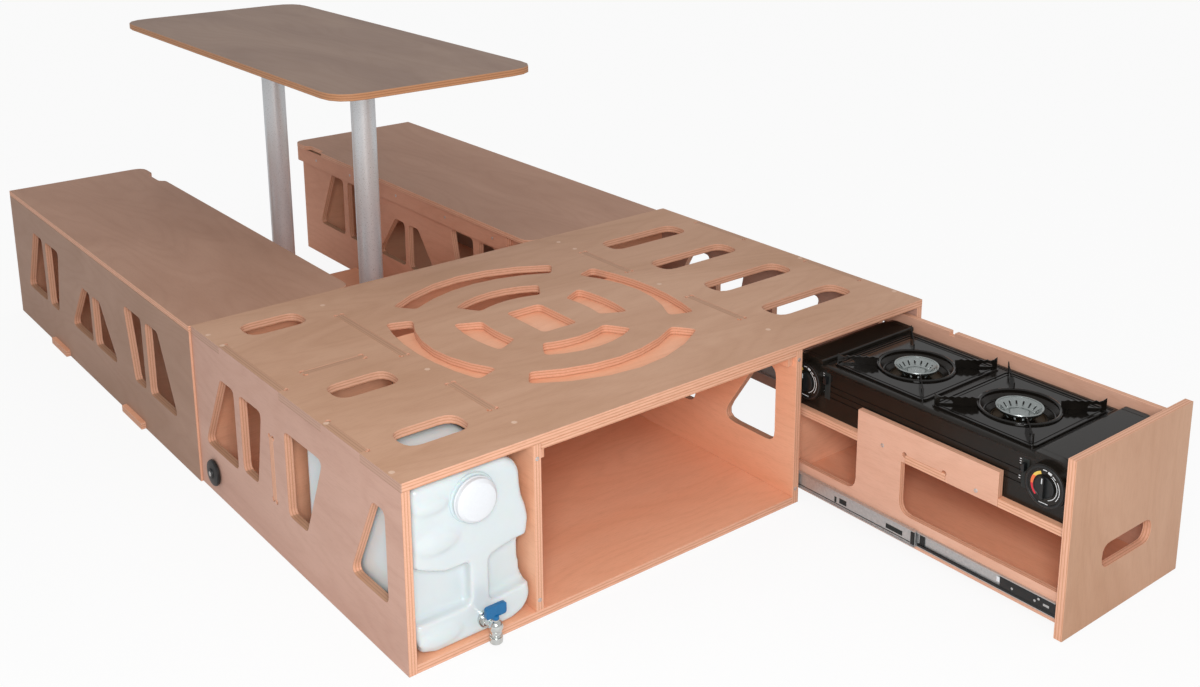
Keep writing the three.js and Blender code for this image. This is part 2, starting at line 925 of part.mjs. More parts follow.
add(
  drawer,
  "stove_shelf",
  plate(
    [
      [slideSpace, glueGap],
      [storageEnd, glueGap],
      [storageEnd, drawerLength],
      [slideSpace, drawerLength],
      [slideSpace, postEnd + glueGap],
      [storageStart, postEnd + glueGap],
      [storageStart, shelfTenonEnd],
      [slideSpace, shelfTenonEnd],
      [slideSpace, shelfTenonStart],
      [storageStart, shelfTenonStart],
      [storageStart, railStart - glueGap],
      [slideSpace, railStart - glueGap],
    ],
    [],
    ply,
  ),
  plyInner,
  [0, 0, shelfFoot],
);

// Ball slides: sections in X and Z, measured from the box wall towards the drawer
const channel = (web, flange, half, way) => [
  [web, -half],
  [flange, -half],
  [flange, slideSheet - half],
  [web + way * slideSheet, slideSheet - half],
  [web + way * slideSheet, half - slideSheet],
  [flange, half - slideSheet],
  [flange, half],
  [web, half],
];
const middleHalf = slideHalf - slideSheet - runGap;
const drawerHalf = middleHalf - slideSheet - runGap;
const middleFrom = slideFlangeShares.middleFrom * slideSpace;
const middleTo = slideFlangeShares.middleTo * slideSpace;
const middleWeb = slideFlangeShares.web * slideSpace;
const cabinetSection = channel(glueGap, slideFlangeShares.cabinet * slideSpace, slideHalf, 1);
const middleSection = [
  ...channel(middleWeb, middleTo, middleHalf, 1).slice(1, -1),
  ...channel(middleWeb + slideSheet, middleFrom, middleHalf, -1).slice(1, -1).reverse(),
];
const drawerSection = channel(
  slideSpace - glueGap, slideFlangeShares.drawer * slideSpace, drawerHalf, -1,
);
function slide(name, wall, side) {
  const across = (section) => section.map(([u, v]) => [side * u, v]);
  const member = (parent, part, section, start, length, wallX) =>
    add(
      parent,
      name + part,
      plate(across(section), [], length),
      zinc,
      [wallX, start + length, slideAxis],
      facing,
    );
  member(kitchenBox, "_cabinet_rail", cabinetSection, slideSetback, slideLength, wall);
  const middleStart = slideSetback - drawerTravel / 2;
  member(root, "_middle_rail", middleSection, middleStart, slideMiddleLength, wall);
  const drawerStart = slideSetback + panelStop;
  member(
    drawer, "_drawer_rail", drawerSection, drawerStart, slideLength, wall - drawerBayStart,
  );
}
slide("near", drawerBayStart, 1);
slide("far", drawerBayStart + drawerBay, -1);

// Stove body
const stove = groupAt(drawer, sideInner + stoveSideGap, stoveSetback, shelfHead + glueGap);
const endwise = new THREE.Matrix4().makeBasis(axisY, axisZ, axisX);
const crosswise = new THREE.Matrix4().makeBasis(axisX, axisZ, axisY.clone().negate());
const farOf = (corners) => corners.map(([y, z, radius]) => [stoveLength - y, z, radius]);
const same = (corners) => corners;

const hoodOutline = [
  [0, bayRim + glueGap],
  [hoodSheet, bayRim + glueGap],
  [hoodSheet, hoodHeight - hoodSheet, hoodRadius - hoodSheet],
  [hoodLength - hoodSheet, hoodHeight - hoodSheet],
  [hoodLength - hoodSheet, deckHeight + glueGap],
  [hoodLength, deckHeight + glueGap],
  [hoodLength, hoodHeight, hoodInnerRadius],
  [0, hoodHeight, hoodRadius],
];
const hoodBlock = [
  [0, 0],
  [bayLength + overrun, 0],
  [bayLength + overrun, deckHeight],
  [hoodLength, deckHeight],
  [hoodLength, hoodHeight, hoodInnerRadius],
  [0, hoodHeight, hoodRadius],
];
const bayBlock = rectangle(0, 0, bayLength + overrun, bayRim);

function stoveBody() {
  const section = [
    [0, 0],
    [stoveWidth, 0],
    [stoveWidth, deckHeight, deckChamfer],
    [0, deckHeight, deckChamfer],
  ];
  ribShares.forEach((share) => {
    const z = share * deckHeight;
    section.push([0, z + ribHeight], [ribDepth, z + ribHeight], [ribDepth, z], [0, z]);
  });
  const middleLength = stoveLength - bayLength - bayLength;
  let body = solidOf(
    plate(section, [], middleLength),
    moved(crosswise, 0, stoveLength - bayLength, 0),
  );
  const slab = (corners, from, thickness) =>
    solidOf(plate(corners, [], thickness), moved(endwise, from, 0, 0));
  [same, farOf].forEach((place) => {
    const pod = circleCorners(podCentreY, podCentreZ, podRadius, wideSides);
    body = body
      .add(slab(place(bayBlock), 0, stoveWidth))
      .add(slab(place(hoodBlock), 0, podDepth))
      .add(slab(place(hoodBlock), stoveWidth - podDepth, podDepth))
      .add(slab(place(pod), -podReach, podReach + podDepth));
    const trough = circleCorners(bayLength / 2, bayRim, bayRadius, wideSides);
    body = body.subtract(slab(place(trough), podDepth, stoveWidth - podDepth - podDepth));
    const well = turning(
      [
        [0, 0],
        [wellFootRadius, 0],
        [wellRadius, wellDepth],
        [wellRadius, wellDepth + overrun],
        [0, wellDepth + overrun],
      ],
      wideSides,
    );
    const [[wellY]] = place([[burnerSetback, 0]]);
    const sunk = moved(upright, burnerAcross, wellY, deckHeight - wellDepth);
    body = body.subtract(solidOf(well, sunk));
  });
  return geometryOf(body);
}
add(stove, "stove_body", stoveBody(), blackSteel);

// A pan support: plate with a rim round its hole and four toothed fins
function panSupport() {
  const hole = circleCorners(0, 0, panHole, wideSides);
  const sheet = rectangle(-panWidth / 2, -panLength / 2, panWidth / 2, panLength / 2, panRadius);
  const rim = circleCorners(0, 0, panHole + dishRim, wideSides);
  let pan = solidOf(plate(sheet, [hole], panSheet));
  pan = pan.add(solidOf(plate(rim, [hole], dishHeight)));
  const start = panHole + dishRim / 2;
  const run = finReach - start;
  const waist = finHeight * finShares.waist;
  const tooth = finHeight * finShares.tooth;
  const tip = start + run * finShares.tipStart;
  const fin = [
    [start, panSheet / 2],
    [finReach, panSheet / 2],
    [finReach, finHeight],
    [tip, waist + tooth],
  ];
  for (let i = 1; i < finTeeth * 2; i++) {
    const along = tip - ((tip - start) * i) / (finTeeth * 2);
    fin.push([along, i % 2 ? waist : waist + tooth]);
  }
  fin.push([start, waist]);
  const finHole = finHoleShares.map(([along, up]) => [
    start + along * run, up * finHeight, finHoleRadius,
  ]);
  const angle = Math.atan2(panLength, panWidth);
  [angle, Math.PI - angle, Math.PI + angle, -angle].forEach((turn) => {
    const stand = moved(crosswise, 0, finSheet / 2, 0);
    const spin = new THREE.Matrix4().makeRotationZ(turn);
    pan = pan.add(solidOf(plate(fin, [finHole], finSheet), spin.multiply(stand)));
  });
  return geometryOf(pan);
}

// A slotted cup that stands in its bowl
function burner() {
  const profile = burnerProfileShares.map(([r, z]) => [r * burnerRadius, z * burnerHeight]);
  let head = solidOf(turning(profile, wideSides), upright);
  for (let i = 0; i < burnerSlots; i++) {
    const spin = new THREE.Matrix4().makeRotationZ((i / burnerSlots) * 2 * Math.PI);
    const slot = box(
      burnerSlotShares.from * burnerRadius,
      -burnerSlotWidth / 2,
      burnerSlotShares.foot * burnerHeight,
      burnerRadius + overrun,
      burnerSlotWidth / 2,
      burnerSlotShares.head * burnerHeight,
    );
    head = head.subtract(solidOf(slot, spin));
  }
  return geometryOf(head);
}

// Knob with a grip bar, on the face of its pod
function dial() {
  const face = dialThickness - dialGripDepth;
  const disc = rod(dialRadius, face, wideSides);
  const grip = box(
    -dialThickness, -dialGripWidth / 2, -dialRadius, -face / 2, dialGripWidth / 2, dialRadius,
  );
  return geometryOf(solidOf(disc, leftward).add(solidOf(grip)));
}

Object.entries({ near: same, far: farOf }).forEach(([name, place]) => {
  const yOf = (y) => place([[y, 0]])[0][0];
  const hoodThickness = stoveWidth - podDepth - podDepth - runGap - runGap;
  add(
    stove,
    name + "_hood",
    plate(place(hoodOutline), [], hoodThickness),
    blackSteel,
    [podDepth + runGap, 0, 0],
    endOn,
  );
  const onDeck = [burnerAcross, yOf(burnerSetback), deckHeight + glueGap];
  add(stove, name + "_pan_support", panSupport(), blackEnamel, onDeck);
  add(stove, name + "_burner", burner(), burnerMetal, [
    burnerAcross, yOf(burnerSetback), deckHeight - wellDepth + glueGap,
  ]);
  add(stove, name + "_dial", dial(), blackPlastic, [
    -podReach - glueGap, yOf(podCentreY), podCentreZ,
  ]);
  const leverMid = yOf(leverSetback + leverWidth / 2);
  add(
    stove,
    name + "_lever",
    box(
      -leverReach,
      leverMid - leverWidth / 2,
      leverFoot,
      -glueGap,
      leverMid + leverWidth / 2,
      leverFoot + leverHeight,
    ),
    blackPlastic,
  );
});

// Canister with two recesses in its face, a screw cap and a tap
const canister = groupAt(root, ply + canisterBay / 2, canisterSetback, ply + glueGap);

function canisterBody() {
  const right = canisterShares.map(([u, v]) => [
    u * (canisterHalf - glueGap), v * canisterHeight, lobeRadius,
  ]);
  const left = [
    [glueGap - canisterHalf, canisterHeight, canisterHeadRadius],
    [glueGap - canisterHalf, 0, canisterFootRadius],
  ];
  const rounded = (size) => ({
    bevelEnabled: true,
    bevelThickness: size,
    bevelSize: size,
    bevelOffset: -size,
    bevelSegments: 2,
    curveSegments: 2,
  });
  const outline = [...right, ...left];
  const shell = plate(outline, [], canisterLength - canisterEdge * 2, rounded(canisterEdge));
  let body = solidOf(shell, moved(crosswise, 0, canisterLength - canisterEdge, 0));
  Object.values(recessShares).forEach((shares) => {
    const corners = shares.map(([u, v]) => [
      u * canisterHalf, v * canisterHeight, recessRadius,
    ]);
    const cutter = plate(corners, [], recessDepth, rounded(recessEdge));
    body = body.subtract(solidOf(cutter, moved(crosswise, 0, recessDepth - recessEdge, 0)));
  });
  const boss = turning(
    [
      [0, 0],
      [bossRadius, 0],
      [bossRadius, bossHeight + overrun - capEdge],
      [bossRadius - capEdge, bossHeight + overrun],
      [0, bossHeight + overrun],
    ],
    wideSides,
  );
  body = body.add(solidOf(boss, moved(forward, capOffset, overrun, capHeight)));
  return geometryOf(body);
}
add(canister, "canister_body", canisterBody(), canisterPlastic);
const capProfile = [
  [0, 0],
  [capRadius, 0],
  [capRadius, capThickness - capEdge],
  [capRadius - capEdge, capThickness],
  [0, capThickness],
];
add(
  canister,
  "canister_cap",
  turning(capProfile, wideSides).applyMatrix4(forward),
  capPlastic,
  [capOffset, -bossHeight - glueGap, capHeight],
);

function tapBody() {
  const flange = rod(tapFlangeRadius, tapFlange, smallSides);
  const barrel = rod(tapBarrelRadius, tapReach, smallSides);
  const ball = new THREE.SphereGeometry(tapBallRadius, smallSides, smallSides / 2);
  const spout = rod(tapSpoutRadius, tapSpoutDrop, smallSides);
  const neck = rod(tapNeckRadius, tapNeckHeight, smallSides);
  const bore = rod(tapBore, tapBoreDepth + overrun, smallSides);
  const down = -tapSpoutDrop;
  let tap = solidOf(flange, moved(forward, 0, -glueGap, 0));
  tap = tap.add(solidOf(barrel, moved(forward, 0, -glueGap, 0)));
  tap = tap.add(solidOf(ball, moved(upright, 0, -tapReach, 0)));
  tap = tap.add(solidOf(spout, moved(upright, 0, -tapReach, down)));
  tap = tap.add(solidOf(neck, moved(upright, 0, -tapReach, 0)));
  tap = tap.subtract(solidOf(bore, moved(upright, 0, -tapReach, down - overrun)));
  return geometryOf(tap);
}
const tap = groupAt(canister, tapOffset, 0, tapHeight);
add(tap, "tap_body", tapBody(), tapPlastic);

function tapLever() {
  const hub = rod(tapNeckRadius, tapLeverStem, smallSides);
  const wing = rectangle(
    -tapLeverLength / 2,
    tapLeverStem - overrun,
    tapLeverLength / 2,
    tapLeverStem + tapLeverHeight,
    tapLeverRadius,
  );
  const stand = moved(crosswise, 0, tapLeverThickness / 2, 0);
  return geometryOf(
    solidOf(hub, upright).add(solidOf(plate(wing, [], tapLeverThickness), stand)),
  );
}
add(tap, "tap_lever", tapLever(), bluePlastic, [0, -tapReach, tapNeckHeight + glueGap]);

// Origin at the middle of the footprint
const leftmost = leftBenchOuter - tabReach;
const foremost = -drawerTravel - panelStop - ply;
const farmost = tableStart + tableLength;
root.position.set(-(leftmost + boxLength) / 2, -(foremost + farmost) / 2, 0);

export default root;
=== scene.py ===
# %% [markdown]
# # A camper kitchen box with benches and a table
# The solids come from the CAD frame. This lesson gives them their finish: lacquered birch plywood,
# black enamelled steel, milky polyethylene, zinc and anodised aluminium, and the small fittings.

# %% Load the frame
import json
import math

import bmesh
import bpy
from mathutils import Matrix, Vector

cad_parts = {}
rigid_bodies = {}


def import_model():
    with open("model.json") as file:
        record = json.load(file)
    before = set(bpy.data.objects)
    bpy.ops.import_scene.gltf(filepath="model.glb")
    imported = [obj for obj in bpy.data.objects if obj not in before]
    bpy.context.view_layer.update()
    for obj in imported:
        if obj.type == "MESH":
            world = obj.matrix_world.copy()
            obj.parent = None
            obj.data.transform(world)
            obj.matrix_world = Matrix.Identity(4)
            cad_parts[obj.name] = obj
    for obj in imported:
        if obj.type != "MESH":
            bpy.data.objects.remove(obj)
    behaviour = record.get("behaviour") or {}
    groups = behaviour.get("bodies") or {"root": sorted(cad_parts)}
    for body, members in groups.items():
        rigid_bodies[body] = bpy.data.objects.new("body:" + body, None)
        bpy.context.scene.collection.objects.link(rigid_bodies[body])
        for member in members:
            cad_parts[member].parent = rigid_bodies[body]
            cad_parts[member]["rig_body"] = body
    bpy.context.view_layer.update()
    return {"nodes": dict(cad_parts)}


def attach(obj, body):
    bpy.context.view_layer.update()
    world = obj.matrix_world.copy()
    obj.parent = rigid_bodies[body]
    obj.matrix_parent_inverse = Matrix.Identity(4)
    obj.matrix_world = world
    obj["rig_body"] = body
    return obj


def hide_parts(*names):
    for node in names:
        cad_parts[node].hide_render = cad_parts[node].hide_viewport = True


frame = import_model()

nodes = frame["nodes"]

# %% [markdown]
# ## One ruler for everything
# The set was measured in millimetres from the front left foot of the kitchen box. The frame's
# origin is the middle of the footprint, so one helper turns such a place into metres.

# %% The ruler
MM = 0.001
ORIGIN = Vector((587.5, 704.5, 0.0))


def at(x, y, z):
    return (Vector((x, y, z)) - ORIGIN) * MM


# %% [markdown]
# ## The camera
# The camera stands in front of the left corner, a little above the table, with a normal lens. The
# lens shift keeps the upright edges as they stand in the picture. The focal length and the shift
# are in pixels of the picture, as a camera fit gives them.

# %% Camera
PICTURE_WIDTH = 1200
FOCAL_PIXELS = 1368.611
SHIFT_PIXELS = (-2.099, -209.53)
SENSOR_WIDTH = 36.0
CLIP_END = 60
EYE = (-893.634, -1619.050, 1314.566)
yaw, pitch, roll = 0.6669356, 0.2467571, 0.0060030
forward = Vector((math.sin(yaw) * math.cos(pitch), math.cos(yaw) * math.cos(pitch), -math.sin(pitch)))
level = Vector((math.cos(yaw), -math.sin(yaw), 0.0))
down = forward.cross(level)
right = level * math.cos(roll) + down * math.sin(roll)
below = down * math.cos(roll) - level * math.sin(roll)
camera_data = bpy.data.cameras.new("camera")
camera = bpy.data.objects.new("camera", camera_data)
bpy.context.scene.collection.objects.link(camera)
turn = Matrix((right, -below, -forward)).transposed().to_4x4()
camera.matrix_world = Matrix.Translation(at(*EYE)) @ turn
camera_data.sensor_width = SENSOR_WIDTH
camera_data.lens = SENSOR_WIDTH * FOCAL_PIXELS / PICTURE_WIDTH
camera_data.shift_x = SHIFT_PIXELS[0] / PICTURE_WIDTH
camera_data.shift_y = SHIFT_PIXELS[1] / PICTURE_WIDTH
camera_data.clip_end = CLIP_END
bpy.context.scene.camera = camera
print("camera", [round(v, 3) for v in camera.location])

# %% [markdown]
# ## Colours
# Colours are written as the hex values that a colour picker shows, and turned to linear light by
# one function. A new material comes with its Principled shader.


# %% Colours and new materials
def linear(hex_value):
    parts = [int(hex_value[i : i + 2], 16) / 255 for i in (1, 3, 5)]
    parts = [p / 12.92 if p <= 0.04045 else ((p + 0.055) / 1.055) ** 2.4 for p in parts]
    return (*parts, 1.0)


def new_material(name):
    material = bpy.data.materials.new(name)
    material.use_nodes = True
    tree = material.node_tree
    shader = tree.nodes["Principled BSDF"]
    return material, tree, shader


# %% [markdown]
# ## Nodes
# One function adds a shader node, sets its sockets and links them. A ramp, a mix and a calculation
# build on it, and each hands back the socket that the next step reads. A piece is dyed with one
# material.


# %% Node tools
def node(tree, kind, settings=None, values=None, links=None):
    made = tree.nodes.new(kind)
    for key, value in (settings or {}).items():
        setattr(made, key, value)
    for key, value in (values or {}).items():
        made.inputs[key].default_value = value
    for key, socket in (links or {}).items():
        tree.links.new(socket, made.inputs[key])
    return made


def ramp(tree, factor, stops):
    made = node(tree, "ShaderNodeValToRGB", links={"Fac": factor})
    elements = made.color_ramp.elements
    for i, (position, colour) in enumerate(stops):
        element = elements[i] if i < 2 else elements.new(position)
        element.position = position
        element.color = colour if isinstance(colour, tuple) else linear(colour)
    return made.outputs["Color"]


def mixed(tree, factor, a, b, blend="MIX"):
    made = node(tree, "ShaderNodeMix", {"data_type": "RGBA", "blend_type": blend})
    for socket, value in ((made.inputs[0], factor), (made.inputs[6], a), (made.inputs[7], b)):
        if isinstance(value, (float, tuple)):
            socket.default_value = value
        else:
            tree.links.new(value, socket)
    return made.outputs[2]


def maths(tree, operation, a, b=None):
    made = node(tree, "ShaderNodeMath", {"operation": operation})
    for i, value in enumerate((a, b)):
        if value is None:
            continue
        if isinstance(value, (int, float)):
            made.inputs[i].default_value = value
        else:
            tree.links.new(value, made.inputs[i])
    return made.outputs[0]


def dye(piece, material):
    piece.data.materials.clear()
    piece.data.materials.append(material)


# %% [markdown]
# ## Birch plywood
# The boards are clear-lacquered birch plywood, milled on a router. A broad face shows rotary cut
# veneer: the knife peels the log, so the year rings come out as long wavy contour lines, with fine
# pores along the grain and slow clouds of tone. Each of these is noise that is stretched along the
# grain. The patterns are given as repeats per metre, across and along the grain: clouds of 200 by
# 625 mm, and pores of 2 by 21 mm. Real plies are 1.4 mm thick, which is too fine to show from here,
# so they are drawn 2.6 mm thick.

# %% Sizes of the figure
PLY_STEP = 2.6 * MM
CLOUDS, PORES, GROWTH = (5.0, 1.6), (520.0, 48.0), (5.0, 1.1)
YEAR_RINGS = 22.0
RING_SHARE, PORE_SHARE, EDGE_PORE_SHARE = 0.1, 0.2, 0.45
FACING = 0.9
LEFT_EDGE_DEPTH = 2
AXES = {"X": 0, "Y": 1, "Z": 2}


def stretched(tree, place, across, along, grain):
    scale = [across, across, across]
    scale[AXES[grain]] = along
    mapping = node(tree, "ShaderNodeMapping", values={"Scale": scale}, links={"Vector": place})
    return mapping.outputs["Vector"]


def noise(tree, vector, **values):
    settings = {"Scale": 1.0, "Detail": 4.0, "Roughness": 0.55}
    settings.update({key.replace("_", " "): value for key, value in values.items()})
    return node(tree, "ShaderNodeTexNoise", values=settings, links={"Vector": vector}).outputs["Fac"]


# %% [markdown]
# ## Faces and edges of a board
# A milled edge shows the plies, light and dark by turns, and an edge that lies flush with a face is
# sanded with it, which leaves it browner. The material reads from the normal whether it is on a
# face or on an edge, so nothing is painted by hand: FACING is how far along an axis a normal has to
# point to count as facing that way. The shares say how strongly rings and pores darken the tone.


# %% Plywood
def plywood(name, thickness, grain, face_tones, edge_tones, flush_tones=None):
    material, tree, shader = new_material(name)
    place = node(tree, "ShaderNodeTexCoord")
    here = place.outputs["Object"]
    clouds = noise(tree, stretched(tree, here, *CLOUDS, grain), Distortion=0.8)
    pores = noise(tree, stretched(tree, here, *PORES, grain), Detail=3.0, Roughness=0.65)
    growth = noise(tree, stretched(tree, here, *GROWTH, grain), Detail=2.0, Roughness=0.45)
    rings = maths(tree, "PINGPONG", maths(tree, "MULTIPLY", growth, YEAR_RINGS), 0.5)
    veneer = ramp(tree, clouds, [(0.34, face_tones[0]), (0.68, face_tones[2]), (0.5, face_tones[1])])
    ring_tones = ramp(tree, rings, [(0.0, "#d4bba9"), (0.3, "#ffffff")])
    ringed = mixed(tree, RING_SHARE, veneer, ring_tones, "MULTIPLY")
    pore_tones = ramp(tree, pores, [(0.34, "#d8cdc6"), (0.52, "#ffffff")])
    face = mixed(tree, PORE_SHARE, ringed, pore_tones, "MULTIPLY")

    split = node(tree, "ShaderNodeSeparateXYZ", links={"Vector": here})
    through = split.outputs[AXES[thickness]]
    layer = maths(tree, "PINGPONG", maths(tree, "MULTIPLY", through, 1 / PLY_STEP), 1.0)
    plies = ramp(tree, layer, [(0.16, edge_tones[0]), (0.42, edge_tones[1])])
    edge_pores = ramp(tree, pores, [(0.3, "#dccfc6"), (0.6, "#ffffff")])
    edge = mixed(tree, EDGE_PORE_SHARE, plies, edge_pores, "MULTIPLY")

    normals = node(tree, "ShaderNodeSeparateXYZ", links={"Vector": place.outputs["Normal"]})
    if flush_tones:
        ends = ramp(tree, layer, [(0.12, flush_tones[0]), (0.4, flush_tones[1])])
        if thickness == "Z":
            flush = maths(tree, "LESS_THAN", split.outputs[0], at(LEFT_EDGE_DEPTH, 0, 0).x)
        else:
            flush = maths(tree, "GREATER_THAN", normals.outputs[2], FACING)
        edge = mixed(tree, flush, edge, ends)
    facing = maths(tree, "ABSOLUTE", normals.outputs[AXES[thickness]])
    is_face = maths(tree, "GREATER_THAN", facing, FACING)
    tree.links.new(mixed(tree, is_face, edge, face), shader.inputs["Base Color"])
    gloss = node(
        tree, "ShaderNodeMapRange", values={"To Min": 0.46, "To Max": 0.62}, links={"Value": pores},
    )
    tree.links.new(gloss.outputs["Result"], shader.inputs["Roughness"])
    bump = node(
        tree, "ShaderNodeBump", values={"Strength": 0.12, "Distance": 0.0003}, links={"Height": pores},
    )
    tree.links.new(bump.outputs["Normal"], shader.inputs["Normal"])
    shader.inputs["IOR"].default_value = 1.48
    shader.inputs["Specular IOR Level"].default_value = 0.3
    return material


# %% [markdown]
# ## Tones of the boards
# Each group of boards has three face tones, and they paint the light of the set into one plywood.
# The inner boards are lighter and more orange, partly their own colour and partly painted light
# where the light falls into the bays; the bench walls and lids are darker with painted shade where
# the light falls off; and the table is greyer with a painted reflection. The key of a group says
# which way the board's thickness runs, which way its grain runs, and which tones it takes.

# %% Tones and boards
TOP = ("#c09578", "#c79c80", "#cda387")
WALL = ("#c39b8a", "#caa291", "#d0a998")
# The lid and bench tones hold painted shade, the inside tones painted light on top of their own orange, and
# the table tones a painted reflection.
LID_IN_PAINTED_SHADE = ("#b18770", "#b78d76", "#bd937c")
BENCH_IN_PAINTED_SHADE = ("#a5836f", "#ab8976", "#b18f7c")
INSIDE_PARTLY_PAINTED_LIGHT = ("#efae8a", "#f3b592", "#f6bd9c")
AISLE = ("#cf967b", "#d69d82", "#dca48a")
DRAWER = ("#d8a58c", "#deac93", "#e4b49c")
TABLE_WITH_PAINTED_REFLECTION = ("#957b6d", "#9c8273", "#a38979")
CUT = ("#cb9474", "#e4b094")
TABLE_CUT = ("#a5714c", "#c4906a")
FLUSH = ("#a98166", "#bd9378")
LEFT_EDGE = ("#b08b79", "#bf9986")
boards = {
    ("X", "Y", "wall"): ["left_wall", "right_wall"],
    ("X", "Y", "bench"): ["left_bench_outer_wall", "right_bench_outer_wall"],
    ("X", "Y", "inside"): ["left_divider", "right_divider", "left_ledge", "right_ledge"],
    ("X", "Y", "aisle"): [
        "left_bench_aisle_wall", "right_bench_aisle_wall", "left_bench_strip", "right_bench_strip",
    ],
    ("X", "Y", "drawer"): ["drawer_near_side", "drawer_far_side"],
    ("Y", "Z", "top"): ["drawer_front"],
    ("Y", "X", "inside"): [
        "back_wall", "cross_wall", "drawer_back", "left_bench_near_end", "left_bench_far_end",
        "right_bench_near_end", "right_bench_far_end",
    ],
    ("Z", "X", "top"): ["box_top"],
    ("Z", "Y", "lid"): ["left_bench_lid", "right_bench_lid"],
    ("Z", "Y", "table"): ["table_top"],
    ("Z", "X", "inside"): [
        "box_floor", "worktop_board", "base_board", "left_bench_floor", "right_bench_floor",
    ],
    ("Z", "Y", "inside"): ["drawer_bottom", "stove_shelf"],
}
print("groups", len(boards), "boards", sum(len(names) for names in boards.values()))

# %% [markdown]
# ## A material for each group
# The boards of a group share one material, and the name of its tones also says which slot it takes.
# Two kinds of edge are flush: the ends of tenons, which look up through the top, and the left edge
# of the top itself.

# %% Board materials
tones = {
    "top": TOP, "wall": WALL, "inside": INSIDE_PARTLY_PAINTED_LIGHT, "drawer": DRAWER, "table": TABLE_WITH_PAINTED_REFLECTION, "lid": LID_IN_PAINTED_SHADE,
    "bench": BENCH_IN_PAINTED_SHADE, "aisle": AISLE,
}
ply_slots = {
    "top": "ply_face", "wall": "ply_face", "inside": "ply_inner", "drawer": "ply_inner",
    "table": "ply_table", "lid": "ply_face", "bench": "ply_face", "aisle": "ply_inner",
}
board_material = {}
for (thickness, grain, side), names in boards.items():
    edge_tones = TABLE_CUT if side == "table" else CUT
    flush_tones = None
    if names == ["box_top"]:
        flush_tones = LEFT_EDGE
    elif side != "drawer" and "Z" not in (thickness, grain):
        flush_tones = FLUSH
    material_name = f"birch_plywood_{thickness}_{grain}_{side}".lower()
    made = plywood(material_name, thickness, grain, tones[side], edge_tones, flush_tones)
    for name in names:
        board_material[name] = (made, ply_slots[side])
print("boards", len(board_material))

# %% [markdown]
# ## Tools for shaping
# Everything new is modelled as by hand: a primitive at its size and place, then extrude, inset and
# scale in edit mode. An operator acts on all that is selected, so one tool selects a piece alone and
# another opens it in edit mode. Directions are named, so the same steps work upright and on a side
# wall.

# %% Directions, selecting and finishing
made_pieces = []
SMOOTH_BELOW = math.radians(30)
UP = ((0, 0, 0), Vector((0, 0, 1)))
DOWN = ((math.pi, 0, 0), Vector((0, 0, -1)))
LEFT = ((0, -math.pi / 2, 0), Vector((-1, 0, 0)))
RIGHT = ((0, math.pi / 2, 0), Vector((1, 0, 0)))
FRONT = ((math.pi / 2, 0, 0), Vector((0, -1, 0)))


def only(piece):
    bpy.ops.object.select_all(action="DESELECT")
    piece.select_set(True)
    bpy.context.view_layer.objects.active = piece


def edit(piece):
    only(piece)
    bpy.ops.object.mode_set(mode="EDIT")
    bpy.ops.mesh.select_all(action="SELECT")


def done():
    bpy.ops.object.mode_set(mode="OBJECT")
    bpy.ops.object.transform_apply(location=True, rotation=True, scale=True)
    bpy.ops.object.shade_smooth_by_angle(angle=SMOOTH_BELOW)
    return bpy.context.active_object


def apply_modifier(piece, kind, **settings):
    only(piece)
    made = piece.modifiers.new(kind.lower(), kind)
    for key, value in settings.items():
        setattr(made, key, value)
    bpy.ops.object.modifier_apply(modifier=made.name)


# %% [markdown]
# ## Hanging and copying
# One step gives a finished piece its name, its material and the body that it rides on.
# What repeats is modelled once and copied, each copy with its own mesh.


# %% Hanging and copying
def hung(piece, name, body, material):
    piece.name = name
    dye(piece, material)
    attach(piece, body)
    made_pieces.append(name)


def copied(piece, x, y, z):
    twin = bpy.data.objects.new(piece.name, piece.data.copy())
    bpy.context.scene.collection.objects.link(twin)
    twin.data.transform(Matrix.Translation(Vector((x, y, z)) * MM))
    return twin


# %% [markdown]
# ## Round pieces and blocks
# A round piece starts as a circle that is extruded and scaled step by step, like a pot on a wheel.
# A block starts as a cube, and a small bevel takes the sharpness off its edges.


# %% Turning and blocks
def turned(centre, way, profile, sides=32, cap=True):
    """A round piece: profile is (radius, height) in mm along the way, from its start."""
    rotation, direction = way
    bpy.ops.object.select_all(action="DESELECT")
    radius, height = profile[0]
    start = at(*centre) + direction * height * MM
    bpy.ops.mesh.primitive_circle_add(
        vertices=sides, radius=radius * MM, fill_type="NGON" if cap else "NOTHING", location=start,
        rotation=rotation,
    )
    bpy.ops.object.transform_apply(location=True, rotation=True, scale=True)
    bpy.ops.object.mode_set(mode="EDIT")
    bpy.ops.mesh.select_all(action="SELECT")
    for next_radius, next_height in profile[1:]:
        bpy.ops.mesh.extrude_region_move(
            TRANSFORM_OT_translate={"value": direction * (next_height - height) * MM},
        )
        factor = next_radius / radius
        size = [1.0 if abs(d) > 0.5 else factor for d in direction]
        bpy.ops.transform.resize(value=size, center_override=at(*centre) + direction * next_height * MM)
        radius, height = next_radius, next_height
    bpy.ops.mesh.select_all(action="SELECT")
    bpy.ops.mesh.normals_make_consistent(inside=False)
    return done()


def slab(lo, hi, bevel=0.0):
    """A block between two corners in mm, with its edges eased."""
    bpy.ops.object.select_all(action="DESELECT")
    low, high = at(*lo), at(*hi)
    bpy.ops.mesh.primitive_cube_add(size=1, location=(low + high) / 2)
    piece = bpy.context.active_object
    piece.scale = high - low
    bpy.ops.object.transform_apply(location=True, rotation=True, scale=True)
    if bevel:
        edit(piece)
        bpy.ops.mesh.bevel(offset=bevel * MM, segments=2, affect="EDGES")
    return done()


# %% [markdown]
# ## Eased edges
# A router leaves a sharp arris, and a maker breaks it with sandpaper so that it doesn't splinter.
# A copy of each board has its loose triangles merged, its flat faces joined and a small bevel on
# every hard edge. The bevel catches the light and gives the pale line round each cut-out.

# %% Tools for easing
WELD_DISTANCE = 0.00001
FLAT_BELOW = math.radians(0.5)
EASED_ABOVE = math.radians(35)
EASED_SMOOTH_BELOW = math.radians(28)


